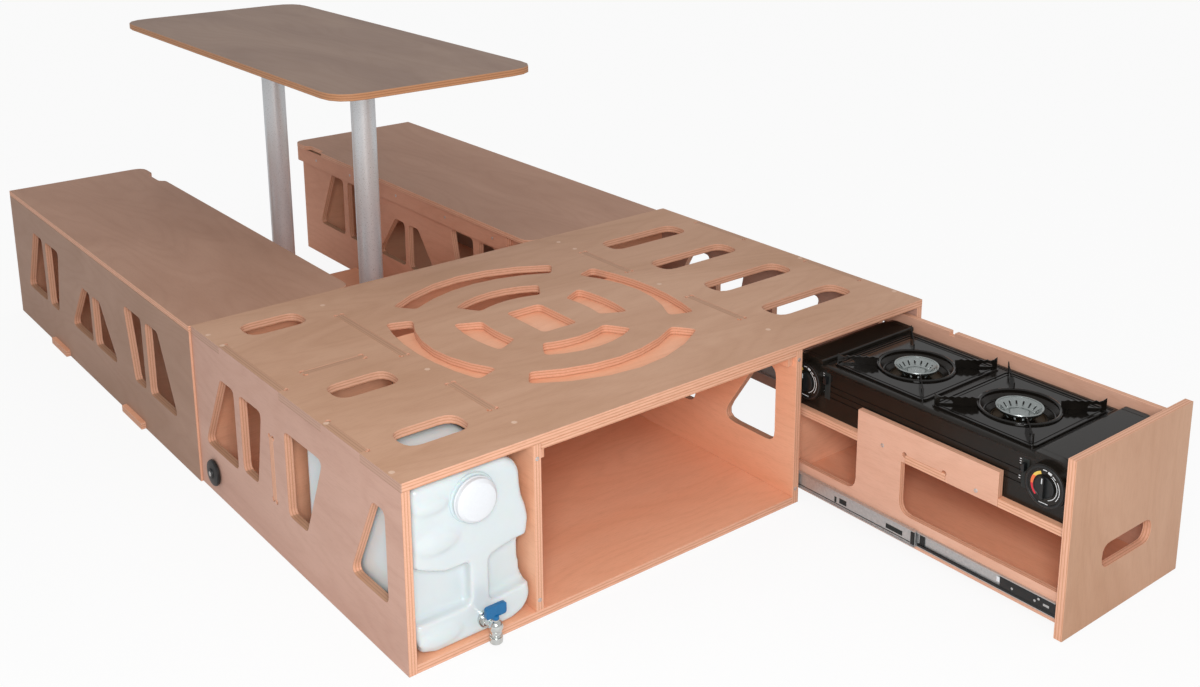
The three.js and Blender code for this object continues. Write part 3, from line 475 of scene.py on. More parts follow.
def merged_copy(name):
    piece = bpy.data.objects.new(name + "_eased", nodes[name].data.copy())
    bpy.context.scene.collection.objects.link(piece)
    edit(piece)
    bpy.ops.mesh.remove_doubles(threshold=WELD_DISTANCE)
    bpy.ops.mesh.dissolve_limited(angle_limit=FLAT_BELOW, delimit={"NORMAL"})
    bpy.ops.object.mode_set(mode="OBJECT")
    return piece


def ease(piece, width):
    apply_modifier(
        piece, "BEVEL", width=width * MM, segments=2, limit_method="ANGLE", angle_limit=EASED_ABOVE,
        use_clamp_overlap=True, harden_normals=False,
    )
    bpy.ops.object.shade_smooth_by_angle(angle=EASED_SMOOTH_BELOW)
    apply_modifier(piece, "WEIGHTED_NORMAL", mode="FACE_AREA", weight=100, keep_sharp=True)
    return piece


def stand_in(piece, name, material):
    hung(piece, name + "_eased", nodes[name]["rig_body"], material)
    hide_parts(name)


# %% [markdown]
# ## Corner reliefs
# A round cutter can't mill a square inner corner, so the maker lets it run a little past each
# corner of a mortise. The reliefs show as small half-round notches at the ends of each tenon.
# Thin cylinders stand at all the corners of a board's mortises, and one Boolean cuts them out. The
# top has most of them, and the left wall and the drawer's near side have those of one tenon each.
# Tenons are given as shares of the box's depth.

# %% Relief cutters
RELIEF = 5.0
REACH = RELIEF * 0.2
BOX_LENGTH, BOX_DEPTH, BOARD = 1190, 790, 15
LEFT_BOARDS, RIGHT_BOARDS, CROSS_WALL = (0, 239), (834, 1175), (445, 460)
TENONS_LEFT = ((0.158, 0.323), (0.519, 0.835))
TENONS_RIGHT = ((0.194, 0.386), (0.627, 0.829))


def relief_cutter(corners, way, low, high):
    cutters = []
    for corner in corners:
        bpy.ops.object.select_all(action="DESELECT")
        bpy.ops.mesh.primitive_cylinder_add(
            vertices=12, radius=RELIEF * MM, depth=(high - low) * MM, rotation=way[0],
            location=at(*corner) + way[1] * (low + high) / 2 * MM,
        )
        cutters.append(bpy.context.active_object)
    for cutter in cutters:
        cutter.select_set(True)
    bpy.ops.object.join()
    return done()


def relieve(piece, cutter):
    apply_modifier(piece, "BOOLEAN", operation="DIFFERENCE", object=cutter, solver="EXACT")
    bpy.data.objects.remove(cutter)
    edit(piece)
    bpy.ops.mesh.dissolve_limited(angle_limit=FLAT_BELOW, delimit={"NORMAL"})
    bpy.ops.object.mode_set(mode="OBJECT")


# %% [markdown]
# ## Where the reliefs are
# The tenons of the left wall, the left divider, the right divider and the right wall stand in the
# top, and so does the one of the cross wall. A corner on the outline of the top is open and gets
# no relief.

# %% Reliefs of three boards
mortises = [
    (x, a * BOX_DEPTH, x + BOARD, b * BOX_DEPTH)
    for places, tenons in ((LEFT_BOARDS, TENONS_LEFT), (RIGHT_BOARDS, TENONS_RIGHT))
    for x in places
    for a, b in tenons
]
mortises.append((67.5, CROSS_WALL[0], 186.5, CROSS_WALL[1]))
top_corners = []
for x0, y0, x1, y1 in mortises:
    for x, step in ((x0, REACH), (x1, -REACH)):
        if 0 < x < BOX_LENGTH:
            top_corners += [(x + step, y0, 0), (x + step, y1, 0)]
wall_corners = [(0, y, z) for y in (CROSS_WALL[0] + REACH, CROSS_WALL[1] - REACH) for z in (103, 225)]
side_corners = [(862, y, 187.2) for y in (-320.2 + REACH, -233.8 - REACH)]
shaped = {}
for name, corners, way, low, high in (
    ("box_top", top_corners, UP, 305, 332),
    ("left_wall", wall_corners, RIGHT, -4, 19),
    ("drawer_near_side", side_corners, RIGHT, -4, 16),
):
    shaped[name] = merged_copy(name)
    relieve(shaped[name], relief_cutter(corners, way, low, high))
    print("reliefs", name, len(corners))

# %% [markdown]
# ## Every board
# All boards get the same small bevel, and each eased copy takes the place of its CAD node.

# %% Eased boards
BOARD_EASE = 0.8
for name, (material, slot) in board_material.items():
    piece = shaped.get(name) or merged_copy(name)
    stand_in(ease(piece, BOARD_EASE), name, material)
print("eased", len(made_pieces))

# %% [markdown]
# ## One recipe for plain finishes
# Enamel, metal and plastic are never quite even: the tone mottles a little, and the gloss and the
# height of the surface change with it. One function makes such a finish, with its grain in repeats
# per metre.


# %% A plain finish
def finish(name, colour, roughness, metallic=0.0, mottle=0.12, grain=60.0, bump=0.05, **sockets):
    material, tree, shader = new_material(name)
    place = node(tree, "ShaderNodeTexCoord")
    spots = noise(tree, place.outputs["Object"], Scale=grain, Detail=6.0, Roughness=0.6)
    base = linear(colour)
    dark = tuple(c * (1 - mottle) for c in base[:3]) + (1.0,)
    light = tuple(min(1.0, c * (1 + mottle)) for c in base[:3]) + (1.0,)
    tree.links.new(ramp(tree, spots, [(0.3, dark), (0.7, light)]), shader.inputs["Base Color"])
    spread = node(
        tree, "ShaderNodeMapRange",
        values={"To Min": max(0.02, roughness * 0.85), "To Max": min(1.0, roughness * 1.2)},
        links={"Value": spots},
    )
    tree.links.new(spread.outputs["Result"], shader.inputs["Roughness"])
    shader.inputs["Metallic"].default_value = metallic
    bumps = node(
        tree, "ShaderNodeBump", values={"Strength": bump, "Distance": 0.0005}, links={"Height": spots},
    )
    tree.links.new(bumps.outputs["Normal"], shader.inputs["Normal"])
    for key, value in sockets.items():
        shader.inputs[key.replace("_", " ")].default_value = value
    return material


# %% [markdown]
# ## Metals and plastics
# Each of these starts from what it is: enamel is glass fused to steel, so it is smooth with a
# clear highlight; zinc plate is a dull bright metal with a faint grain; anodised aluminium is
# satin; polyethylene is milky and lets some light through; the tap is nickel-plated brass. The
# grain runs from patches of 70 mm on the canister to a texture of 1 mm on the black plastic, which
# is finer on the real one and is drawn this coarse so that it shows.

# %% Metals and plastics
satin_enamel = finish(
    "satin_black_enamel", "#1c1814", 0.22, mottle=0.2, grain=35.0, IOR=1.5, Specular_IOR_Level=0.3,
)
gloss_enamel = finish(
    "gloss_black_enamel", "#14110e", 0.1, mottle=0.3, grain=50.0, bump=0.03,
    IOR=1.52, Specular_IOR_Level=0.3,
)
abs_black = finish("moulded_black_abs", "#101213", 0.4, grain=900.0, bump=0.15, IOR=1.53)
print_white = finish("white_pad_print", "#d8dadb", 0.5, mottle=0.05, grain=900.0)
cast_alloy = finish("cast_burner_alloy", "#a6acab", 0.26, metallic=1.0, mottle=0.06, grain=120.0, bump=0.04)
brass_ring = finish("heat_tinted_brass", "#43331f", 0.34, metallic=1.0, grain=120.0, bump=0.04)
zinc_plate = finish("zinc_plated_steel", "#c3c4c4", 0.38, metallic=0.75, grain=220.0, bump=0.06)
# Painted shade: a dark finish for slots and grooves, where the depth is in shade.
slot_painted_shade = finish("shadowed_slot", "#1e2221", 0.7, grain=300.0)
anodised = finish("anodised_aluminium", "#e6ecf0", 0.28, metallic=0.5, mottle=0.05, grain=500.0, bump=0.03)
dark_nylon = finish("dark_grey_nylon", "#55595b", 0.5, grain=600.0, bump=0.1, IOR=1.53)
milky_pe = finish(
    "milky_polyethylene", "#d1d9db", 0.13, mottle=0.02, grain=14.0, bump=0.04,
    IOR=1.5, Subsurface_Weight=0.25, Subsurface_Scale=0.02,
)
white_cap = finish("white_polypropylene", "#dcdfe3", 0.34, mottle=0.02, grain=300.0, bump=0.05, IOR=1.49)
nickel = finish("nickel_plated_brass", "#d3d6d4", 0.16, metallic=1.0, mottle=0.08, grain=160.0, bump=0.04)
blue_plastic = finish("blue_polypropylene", "#046296", 0.3, mottle=0.08, grain=200.0, bump=0.08, IOR=1.49)
filler = finish("wood_filler", "#d9b79f", 0.55, mottle=0.08, grain=700.0)
print("materials in the file", len(bpy.data.materials))

# %% [markdown]
# ## Fittings
# Each fitting is a copy of its CAD node with eased edges, and takes that node's place. The table
# gives every finish its fittings, their slot and the width of the bevel in millimetres.

# %% Fittings
fittings = {
    satin_enamel: (["stove_body", "near_hood", "far_hood"], "black_steel", 1.2),
    gloss_enamel: (["near_pan_support", "far_pan_support"], "black_enamel", 0.3),
    abs_black: (["near_dial", "far_dial", "near_lever", "far_lever"], "black_plastic", 0.8),
    cast_alloy: (["near_burner", "far_burner"], "burner_metal", 0.3),
    zinc_plate: (
        ["near_cabinet_rail", "near_middle_rail", "near_drawer_rail", "far_cabinet_rail",
         "far_middle_rail", "far_drawer_rail", "clamp_bolt"], "zinc", 0.25),
    anodised: (["near_post", "far_post"], "post_metal", 0.8),
    dark_nylon: (["near_collar", "far_collar"], "collar_plastic", 0.8),
    white_cap: (["canister_cap"], "cap_plastic", 1.0),
    nickel: (["tap_body"], "tap_plastic", 0.6),
    blue_plastic: (["tap_lever"], "blue_plastic", 1.2),
}
for material, (names, slot, edge) in fittings.items():
    for name in names:
        stand_in(ease(merged_copy(name), edge), name, material)
print("fittings", sum(len(v[0]) for v in fittings.values()))

# %% [markdown]
# ## Clamp knob
# The knob that clamps the worktop is a moulded disc with a rounded rim and a low boss.

# %% Clamp knob
KNOB = (-2, 720, 48)
knob = turned(
    KNOB, LEFT,
    [(25, 0), (26, 1.2), (26, 4.5), (24.5, 6.5), (18, 7.8), (11, 8.4), (10, 10.6), (2, 10.9)], 48,
)
stand_in(knob, "clamp_knob", abs_black)
print("knob", len(knob.data.polygons))

# %% [markdown]
# ## The canister
# A blow-moulded canister has no sharp edge, because hot plastic stretches thin over a corner of the
# mould. Its back is moved in, to where the slot in the wall shows it, and its upper back corner
# slopes down, because only wood shows through the slot above it. The copy is drawn from fine even
# cells and smoothed, which rounds every edge alike. Three places on the left of its front swell a
# little, so that they catch the light: each is given by its centre, half its width and half its
# height.

# %% Blow-moulded canister
CELL = 3.2
SHORTER, BACK_BEHIND = 14, 300
SLOPE_FOOT, SLOPE_WAY = (0, 288, 304.2), (0, 0.5, 0.87)
SWELLS = ((54, 268, 33, 16), (63, 204, 42, 22), (64, 42, 42, 18))
SWELL_Y, SWELL_DEPTH = 8, 7
canister = merged_copy("canister_body")


def pick(piece, wanted):
    """Select the vertices for which wanted(place) holds, in edit mode."""
    edit(piece)
    bpy.ops.mesh.select_all(action="DESELECT")
    mesh = bmesh.from_edit_mesh(piece.data)
    for vertex in mesh.verts:
        vertex.select_set(wanted(vertex.co))
    mesh.select_flush_mode()
    bmesh.update_edit_mesh(piece.data)
    return sum(vertex.select for vertex in mesh.verts)


moved = pick(canister, lambda co: co.y > at(0, BACK_BEHIND, 0).y)
bpy.ops.transform.translate(value=(0, -SHORTER * MM, 0))
bpy.ops.mesh.select_all(action="SELECT")
bpy.ops.mesh.bisect(plane_co=at(*SLOPE_FOOT), plane_no=SLOPE_WAY, use_fill=True, clear_outer=True)
bpy.ops.object.mode_set(mode="OBJECT")
swells = []
for x, z, wide, tall in SWELLS:
    bpy.ops.mesh.primitive_uv_sphere_add(
        segments=48, ring_count=24, radius=MM, location=at(x, SWELL_Y, z),
    )
    swell = bpy.context.active_object
    swell.scale = (wide, SWELL_DEPTH, tall)
    bpy.ops.object.transform_apply(location=True, rotation=True, scale=True)
    swells.append(swell)
only(canister)
for swell in swells:
    swell.select_set(True)
bpy.ops.object.join()
apply_modifier(canister, "REMESH", mode="VOXEL", voxel_size=CELL * MM, use_smooth_shade=True)
apply_modifier(canister, "SMOOTH", factor=0.5, iterations=6)
bpy.ops.object.shade_smooth()
stand_in(canister, "canister_body", milky_pe)
print("canister", moved, len(canister.data.polygons))

# %% [markdown]
# ## Plugs and screws
# The box is put together with tenons and long screws. Where a screw goes in from a broad face, its
# hole is filled and sanded flush, which leaves a pale disc with a fine ring. Smaller screws with a
# round recess sit in the drawer's near side, in the strip of a bench and in the front edges of the
# dividers. Each is turned once and then copied to its places.


# %% Fillers and screw heads
def flush_plug(name, way, places, body):
    first = turned(
        (0, 0, 0), way,
        [(5.2, -0.6), (5.2, 0.02), (4.7, 0.1), (4.4, -0.12), (4.1, 0.12), (1.5, 0.16)], 24,
    )
    for i, (x, y, z) in enumerate(places):
        hung(copied(first, x, y, z), f"{name}_{i}", body, filler)
    bpy.data.objects.remove(first)


def screw_head(name, way, places, body):
    first = turned((0, 0, 0), way, [(3.6, -0.5), (3.6, 0.1), (3.1, 0.45), (1.5, 0.5), (1.4, -0.3)], 18)
    for i, (x, y, z) in enumerate(places):
        hung(copied(first, x, y, z), f"{name}_{i}", body, zinc_plate)
    bpy.data.objects.remove(first)


TOP_FACE = 326
FRONT_FACE = -570.83
TOP_PLUGS = (
    (246, 62), (246, 330), (246, 727), (841, 82), (841, 397), (841, 685), (841, 745), (1182, 65),
    (1182, 326), (8, 40), (8, 250), (8, 660), (8, 725),
)
FRONT_PLUGS = ((919, 163), (1127, 169), (919, 24), (1122, 26))
flush_plug("top_plug", UP, [(x, y, TOP_FACE) for x, y in TOP_PLUGS], "frame")
flush_plug("front_plug", FRONT, [(x, FRONT_FACE, z) for x, z in FRONT_PLUGS], "drawer")
screw_head("side_screw", LEFT, [(862, -185, 186), (862, -385, 183)], "drawer")
screw_head("strip_screw", LEFT, [(797.8, y, 291) for y in (950, 1160, 1400, 1650, 1850)], "frame")
screw_head(
    "divider_screw", FRONT, [(841, 0, 30), (841, 0, 292), (246.5, 0, 34), (246.5, 0, 286)], "frame",
)
print("pieces with plugs and screws", len(made_pieces))

# %% [markdown]
# ## Stove trays and burners
# Each burner is a slotted cup that stands deep in a bowl, which keeps a spill away from the gas. A
# pressed tray lies over the bowl, with a rolled rim round its hole and a raised bead along its
# border. The bead is a flat frame that is extruded, and one function makes it at any size.


# %% A bead round a border
def bead_frame(x0, y0, x1, y1, z, width, height, corner):
    bpy.ops.object.select_all(action="DESELECT")
    low, high = at(x0, y0, z), at(x1, y1, z)
    bpy.ops.mesh.primitive_plane_add(size=1, location=(low + high) / 2)
    piece = bpy.context.active_object
    piece.scale = (high.x - low.x, high.y - low.y, 1)
    bpy.ops.object.transform_apply(location=True, rotation=True, scale=True)
    edit(piece)
    bpy.ops.mesh.bevel(offset=corner * MM, segments=6, affect="VERTICES")
    bpy.ops.mesh.select_all(action="SELECT")
    bpy.ops.mesh.inset(thickness=width * MM)
    bpy.ops.mesh.delete(type="FACE")
    bpy.ops.mesh.select_all(action="SELECT")
    bpy.ops.mesh.extrude_region_move(TRANSFORM_OT_translate={"value": (0, 0, height * MM)})
    bpy.ops.mesh.select_all(action="SELECT")
    bpy.ops.mesh.normals_make_consistent(inside=False)
    bpy.ops.object.mode_set(mode="OBJECT")
    apply_modifier(
        piece, "BEVEL", width=height * 0.4 * MM, segments=3, limit_method="ANGLE",
        angle_limit=math.radians(40),
    )
    return done()


# %% [markdown]
# ## Bowls and burner heads
# Rims, steps and the parts of a burner are turned like a pot, from a profile of radius and height. A
# ring closes on its first point. Only the seat under a burner stays open, inwards, where the cup
# hides it, and the core of the burner is a capped disc.

# %% Trays, bowls and burner heads
DECK = 282.2
BURNER_X = 1000
CUP_FOOT = DECK - 17.8
for place, y in (("near", -365), ("far", -143)):
    pan = place + "_pan"
    bead = bead_frame(891, y - 103, 1109, y + 103, DECK + 2.1, 3.2, 1.6, 12)
    hung(bead, place + "_tray_bead", pan, gloss_enamel)
    step = bead_frame(899, y - 95, 1101, y + 95, DECK + 2.1, 2.2, 1.0, 10)
    hung(step, place + "_tray_step", pan, gloss_enamel)
    rim = turned(
        (BURNER_X, y, DECK), UP,
        [
            (65.6, 3.6), (71.2, 3.6), (72.2, 4.4), (71.6, 5.4), (69.0, 6.2), (66.6, 5.6), (65.4, 4.6),
            (65.6, 3.6),
        ],
        64, cap=False,
    )
    hung(rim, place + "_bowl_rim", pan, gloss_enamel)
    shelf = turned(
        (BURNER_X, y, DECK), UP,
        [(57.5, -10), (60.8, -9.4), (61.4, -8.4), (60.2, -7.8), (58.2, -8.4), (57.5, -10)], 64, cap=False,
    )
    hung(shelf, place + "_bowl_step", "drawer", gloss_enamel)
    seat = turned(
        (BURNER_X, y, DECK - 18), UP,
        [(26, 0.1), (46, 0.1), (47.6, 1.2), (46.8, 2.6), (44.6, 2.8), (43.6, 1.6), (26, 1.4)],
        56, cap=False,
    )
    hung(seat, place + "_burner_seat", "drawer", brass_ring)
    lip = turned(
        (BURNER_X, y, CUP_FOOT), UP,
        [(37.4, 21.4), (40.0, 21.4), (40.8, 22.2), (40.2, 23.2), (38.8, 23.4), (37.4, 22.6), (37.4, 21.4)],
        56, cap=False,
    )
    hung(lip, place + "_burner_lip", "drawer", cast_alloy)
    core = turned(
        (BURNER_X, y, CUP_FOOT), UP,
        [(17, 9.0), (17, 11.4), (15.5, 12.8), (10, 13.6), (9, 12.8), (3, 12.6)], 40,
    )
    hung(core, place + "_burner_core", "drawer", cast_alloy)
print("pieces with trays and burners", len(made_pieces))

# %% [markdown]
# ## Ribs of the deck
# The deck is stiffened by fine ribs that are pressed into it, in pairs along its ends and its right.

# %% Deck ribs
for i, y in enumerate((-471.6, -474.6, -36.6, -33.6)):
    rib = slab((884, y, DECK - 0.2), (1124, y + 1.2, DECK + 0.9), 0.3)
    hung(rib, f"deck_cross_rib_{i}", "drawer", gloss_enamel)
for i, x in enumerate((1114, 1119)):
    rib = slab((x, -468, DECK - 0.2), (x + 1.5, -40, DECK + 0.9), 0.4)
    hung(rib, f"deck_side_rib_{i}", "drawer", gloss_enamel)
print("pieces with ribs", len(made_pieces))

# %% [markdown]
# ## Valve knobs
# The valve knob of each burner sits in a round pod. The pod has a raised lip, a printed heat scale
# in yellow, orange and red on one side, and white lines on the other. The scale is a ring of which
# only an arc is kept, and its three colours change with height, as a stencil would print them.
# SCALE_REACH says how far above and below the knob's centre the colours run.

# %% Colours of the heat scale
SCALE_REACH = 26


def heat_scale(name, centre_z):
    material, tree, shader = new_material(name)
    place = node(tree, "ShaderNodeTexCoord")
    height = node(tree, "ShaderNodeSeparateXYZ", links={"Vector": place.outputs["Object"]}).outputs[2]
    lowest, highest = (centre_z - SCALE_REACH) * MM, (centre_z + SCALE_REACH) * MM
    share = node(
        tree, "ShaderNodeMapRange", values={"From Min": lowest, "From Max": highest},
        links={"Value": height},
    )
    bands = ramp(tree, share.outputs["Result"], [(0.0, "#d3283a"), (0.46, "#ef7440"), (0.74, "#e6c45a")])
    tree.nodes[-1].color_ramp.interpolation = "CONSTANT"
    tree.links.new(bands, shader.inputs["Base Color"])
    shader.inputs["Roughness"].default_value = 0.45
    return material


# %% [markdown]
# ## A printed arc
# An arc starts as a disc. An inset leaves a ring, the faces whose angle isn't wanted are deleted,
# and what is left gets the thickness of a print.


# %% A printed arc
def ring_arc(centre, r_in, r_out, thick, keep):
    """A printed arc on a face that looks to -X; keep says which angles stay, 0 to the front, 90 up."""
    bpy.ops.object.select_all(action="DESELECT")
    bpy.ops.mesh.primitive_circle_add(
        vertices=72, radius=r_out * MM, fill_type="NGON", location=at(*centre), rotation=LEFT[0],
    )
    bpy.ops.object.transform_apply(location=True, rotation=True, scale=True)
    piece = bpy.context.active_object
    edit(piece)
    bpy.ops.mesh.inset(thickness=(r_out - r_in) * MM)
    bpy.ops.mesh.delete(type="FACE")
    middle = at(*centre)
    mesh = bmesh.from_edit_mesh(piece.data)
    for face in mesh.faces:
        spot = face.calc_center_median() - middle
        angle = math.degrees(math.atan2(spot.z, -spot.y)) % 360
        face.select_set(not keep[0] <= angle <= keep[1])
    bmesh.update_edit_mesh(piece.data)
    bpy.ops.mesh.delete(type="FACE")
    bpy.ops.mesh.select_all(action="SELECT")
    bpy.ops.mesh.extrude_region_move(TRANSFORM_OT_translate={"value": (-thick * MM, 0, 0)})
    bpy.ops.mesh.select_all(action="SELECT")
    bpy.ops.mesh.normals_make_consistent(inside=False)
    return done()


# %% [markdown]
# ## Two pods
# Both pods are alike, so one loop makes the lip, the prints, and the rim and pointer of the knob.

# %% Pods, scales and knobs
DIAL_Z = 243.2
POD_X = 863
PRINT = 0.16
WHITE_LINES = (
    (22.0, 23.0, (0, 62)), (22.0, 23.0, (292, 360)), (26.0, 27.2, (0, 34)), (26.4, 27.4, (318, 360)),
    (24.4, 28.4, (66, 80)), (27.2, 28.6, (84, 100)), (25.2, 26.6, (44, 58)),
)
scale_print = heat_scale("printed_heat_scale", DIAL_Z)
for place, y in (("near", -511), ("far", 3)):
    lip = turned(
        (POD_X, y, DIAL_Z), LEFT,
        [(30.5, -0.4), (34.5, -0.4), (35, 0.8), (33.6, 1.7), (31.4, 1.6), (30.5, 0.4), (30.5, -0.4)],
        56, cap=False,
    )
    hung(lip, place + "_pod_lip", "drawer", abs_black)
    arc = ring_arc((POD_X, y, DIAL_Z), 20.6, 25.6, PRINT, (108, 232))
    hung(arc, place + "_heat_scale", "drawer", scale_print)
    for i, (r_in, r_out, keep) in enumerate(WHITE_LINES):
        line = ring_arc((POD_X, y, DIAL_Z), r_in, r_out, PRINT, keep)
        hung(line, f"{place}_scale_line_{i}", "drawer", print_white)
    bar = slab((POD_X - PRINT, y - 8, DIAL_Z - 29.4), (POD_X + 0.1, y + 9, DIAL_Z - 28.2))
    hung(bar, place + "_scale_bar", "drawer", print_white)
    rim = turned(
        (POD_X - 0.2, y, DIAL_Z), LEFT,
        [(17.4, 2.9), (18.6, 2.9), (18.8, 3.6), (17.6, 4.2), (17.0, 3.6), (17.4, 2.9)], 48, cap=False,
    )
    hung(rim, place + "_knob_rim", place + "_dial", abs_black)
    pointer = slab((POD_X - 9.4, y - 0.9, DIAL_Z + 8), (POD_X - 9.1, y + 0.9, DIAL_Z + 17))
    hung(pointer, place + "_knob_pointer", place + "_dial", print_white)
    print(place, "knob at", y)

# %% [markdown]
# ## Locking levers
# A lever beside each knob pushes the gas cartridge into its valve. It runs in an upright slot in
# the side of the stove, and lines of white print beside it tell the way. The shade in the slot is
# painted: a dark frame with a hollow middle, because an inset gives both its lip and its depth in
# one step.

# %% Lever slots
# Each slot is a dark plate that carries the painted shade of the groove.
for place, y in (("near", -467), ("far", -41)):
    plate = slab((874.86, y - 6.5, 219), (875.4, y + 6.5, 270))
    edit(plate)
    bpy.ops.mesh.select_all(action="DESELECT")
    mesh = bmesh.from_edit_mesh(plate.data)
    for face in mesh.faces:
        face.select_set(face.normal.x < -FACING)
    bmesh.update_edit_mesh(plate.data)
    bpy.ops.mesh.inset(thickness=1.4 * MM)
    bpy.ops.mesh.extrude_region_move(TRANSFORM_OT_translate={"value": (0.4 * MM, 0, 0)})
    bpy.ops.object.mode_set(mode="OBJECT")
    hung(done(), place + "_lever_slot", "drawer", slot_painted_shade)
    for i, z in enumerate((258, 262, 266, 236, 232)):
        tick = slab((874.8, y + 8.4, z), (875.2, y + 11.6, z + 1.1))
        hung(tick, f"{place}_lever_mark_{i}", "drawer", print_white)
    cap = slab((864.6, y - 3.4, 256.6), (865.4, y + 3.4, 260.4), 0.3)
    hung(cap, place + "_lever_ridge", place + "_lever", abs_black)
    print(place, "lever at", y)

# %% [markdown]
# ## Drawer slides
# A ball slide shows three things from the side: the bright zinc of the rails, the slots where the
# middle rail is pressed, whose dark is painted shade, and the black plastic latch, damper and ball
# cage at the front. A dark groove along the middle rail is a painted shadow line. They are low
# blocks on the web of the rail, each a little proud so that it reads as its own part, and each
# stays clear of the other rails when the drawer shuts.

# %% Slots, latch and ball cage
RAIL_Z = 44
# Painted shade: the slots and the groove are dark blocks where the pressed rail lies in shade.
RAIL_SLOTS = ((-245, -208, 38, 47), (-115, -98, 38, 48), (-91, -86, 36, 47))
for i, (y0, y1, z0, z1) in enumerate(RAIL_SLOTS):
    slot = slab((854.0, y0, z0), (854.3, y1, z1))
    hung(slot, f"near_rail_slot_{i}", "near_slide_middle", slot_painted_shade)
groove = slab((853.9, -262, RAIL_Z - 10.6), (854.4, 286, RAIL_Z - 9.0))
hung(groove, "near_rail_groove", "near_slide_middle", slot_painted_shade)
clip = slab((852.6, -272, RAIL_Z - 12), (854.3, -264, RAIL_Z + 12), 0.6)
hung(clip, "near_rail_clip", "near_slide_middle", abs_black)
latch = slab((858.0, -290, RAIL_Z - 9), (860.4, -280, RAIL_Z + 11), 0.8)
hung(latch, "near_rail_latch", "drawer", abs_black)
damper = slab((857.2, -552, RAIL_Z - 11), (860.4, -446, RAIL_Z + 11.4), 0.8)
hung(damper, "near_rail_damper", "drawer", abs_black)
cage = slab((856.7, -550, RAIL_Z - 13.2), (860.0, -276, RAIL_Z - 7.6), 0.5)
hung(cage, "near_ball_cage", "drawer", abs_black)
tab = slab((856.6, -446, RAIL_Z), (857.6, -440, RAIL_Z + 9), 0.3)
hung(tab, "near_damper_tab", "drawer", white_cap)
oblong = slab((856.6, -540, RAIL_Z - 1), (857.4, -529, RAIL_Z + 3), 0.3)
hung(oblong, "near_damper_window", "drawer", zinc_plate)
for i, (y, z) in enumerate(((-520, 50), (-513, 44), (-470, 44))):
    stud = turned((857.2, y, z), LEFT, [(2.2, -0.4), (2.2, 0.2), (1.7, 0.5), (0.8, 0.55)], 16)
    hung(stud, f"near_damper_stud_{i}", "drawer", zinc_plate)
print("pieces with slide fittings", len(made_pieces))

# %% [markdown]
# ## Canister and tap
# The neck of the canister has a translucent collar under the white screw cap, and the cap has a
# slightly domed face. The tap is screwed in with a hexagon nut, and its spout ends in a rolled ring
# below two turns of thread. The nut is a circle of six corners, extruded and scaled like any other
# round piece.

# %% Cap, collar and tap fittings
CAP = (126, 259.2)
TAP = (144, -24, 42.2)
collar = turned(
    (CAP[0], 6, CAP[1]), FRONT,
    [(37, -0.5), (40.4, -0.5), (41, 0.8), (40.2, 2.4), (38.6, 3.4), (37, 3.6), (37, -0.5)],
    56, cap=False,
)
hung(collar, "canister_collar", "canister", milky_pe)
dome = turned(
    (CAP[0], -15.2, CAP[1]), FRONT,
    [(31.5, -0.4), (30.5, 0.5), (26, 1.4), (18, 2.1), (9, 2.5), (2, 2.6)], 56,
)
hung(dome, "cap_dome", "cap", white_cap)
skirt = turned(
    (CAP[0], -0.2, CAP[1]), FRONT,
    [(35.9, 0.4), (37.0, 0.4), (37.4, 1.4), (36.8, 2.6), (35.9, 2.8), (35.9, 0.4)], 56, cap=False,
)
hung(skirt, "cap_skirt", "cap", white_cap)
nut = turned((TAP[0], 5.8, TAP[2]), FRONT, [(12.4, 5.0), (12.4, 9.5), (11.6, 10.3), (9.4, 10.6)], 6)
hung(nut, "tap_nut", "canister", nickel)
spout_ring = turned(
    TAP, DOWN, [(9, 17.5), (10.6, 18), (11, 19.5), (10.8, 25), (10.4, 27.6), (9, 28)], 32, cap=False,
)
hung(spout_ring, "tap_spout_ring", "canister", nickel)
for i, drop in enumerate((13.5, 15.5)):
    thread = turned(
        TAP, DOWN, [(8.9, drop), (9.7, drop + 0.3), (9.7, drop + 1.0), (8.9, drop + 1.3)],
        32, cap=False,
    )
    hung(thread, f"tap_thread_{i}", "canister", nickel)
print("pieces with canister fittings", len(made_pieces))

# %% [markdown]
# ## Floor, backdrop and light
# The set stands on a white floor in a bright studio: a large even dome, and one broad softbox beside
# the camera that lights the open bays and lets the far boards fall off a little. The camera sees
# the floor and the world as white, which adds no light to the object.

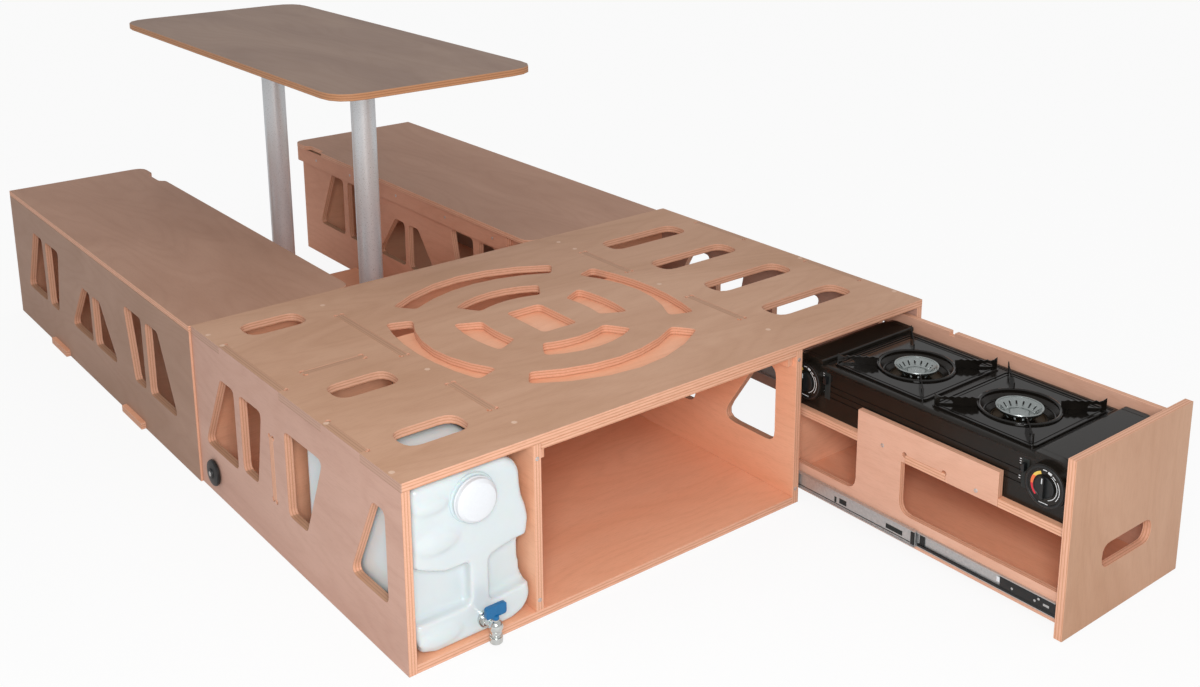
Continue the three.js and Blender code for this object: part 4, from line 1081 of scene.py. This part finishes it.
# %% Floor
WHITE = (1, 1, 1, 1)
FLOOR_TONE = (0.86, 0.86, 0.86, 1)
SEEN_AS_WHITE = 0.9
bpy.ops.object.select_all(action="DESELECT")
bpy.ops.mesh.primitive_plane_add(size=60, location=(0, 0, -0.0005))
floor = bpy.context.active_object
floor.name = "studio_floor"
floor_material, floor_tree, floor_shader = new_material("studio_white")
floor_shader.inputs["Base Color"].default_value = FLOOR_TONE
floor_shader.inputs["Roughness"].default_value = 1.0
floor_shader.inputs["Specular IOR Level"].default_value = 0.0
floor_glow = node(floor_tree, "ShaderNodeEmission", values={"Color": WHITE, "Strength": 1.0})
floor_path = node(floor_tree, "ShaderNodeLightPath")
seen = maths(floor_tree, "MULTIPLY", floor_path.outputs["Is Camera Ray"], SEEN_AS_WHITE)
floor_mix = node(
    floor_tree, "ShaderNodeMixShader",
    links={0: seen, 1: floor_shader.outputs[0], 2: floor_glow.outputs[0]},
)
floor_tree.links.new(floor_mix.outputs[0], floor_tree.nodes["Material Output"].inputs["Surface"])
dye(floor, floor_material)
print("floor", floor.name)

# %% [markdown]
# ## Sky and lamp
# The dome is a plain world, dimmer for the object than for the camera, and the softbox is a disc.

# %% World and softbox
DOME_STRENGTH = 0.62
SOFTBOX_SIZE, SOFTBOX_POWER = 0.8, 38
SOFTBOX_PLACE, SOFTBOX_AIM = (-1.44, -2.36, 1.42), Vector((0.0, -0.4, 0.2))
world = bpy.data.worlds.new("studio")
bpy.context.scene.world = world
world.use_nodes = True
world_tree = world.node_tree
for old in list(world_tree.nodes):
    world_tree.nodes.remove(old)
path = node(world_tree, "ShaderNodeLightPath")
seen = maths(world_tree, "MAXIMUM", path.outputs["Is Camera Ray"], path.outputs["Is Transmission Ray"])
dome = node(world_tree, "ShaderNodeBackground", values={"Color": WHITE, "Strength": DOME_STRENGTH})
white = node(world_tree, "ShaderNodeBackground", values={"Color": WHITE, "Strength": 1.0})
sky = node(
    world_tree, "ShaderNodeMixShader", links={0: seen, 1: dome.outputs[0], 2: white.outputs[0]},
)
node(world_tree, "ShaderNodeOutputWorld", links={"Surface": sky.outputs[0]})

softbox_data = bpy.data.lights.new("softbox", "AREA")
softbox_data.shape = "DISK"
softbox_data.size = SOFTBOX_SIZE
softbox_data.energy = SOFTBOX_POWER
softbox = bpy.data.objects.new("softbox", softbox_data)
softbox.location = SOFTBOX_PLACE
aim = SOFTBOX_AIM - softbox.location
softbox.rotation_euler = aim.to_track_quat("-Z", "Y").to_euler()
bpy.context.scene.collection.objects.link(softbox)
bpy.context.scene.view_settings.view_transform = "Standard"
print("softbox", SOFTBOX_POWER, "W, dome", DOME_STRENGTH)
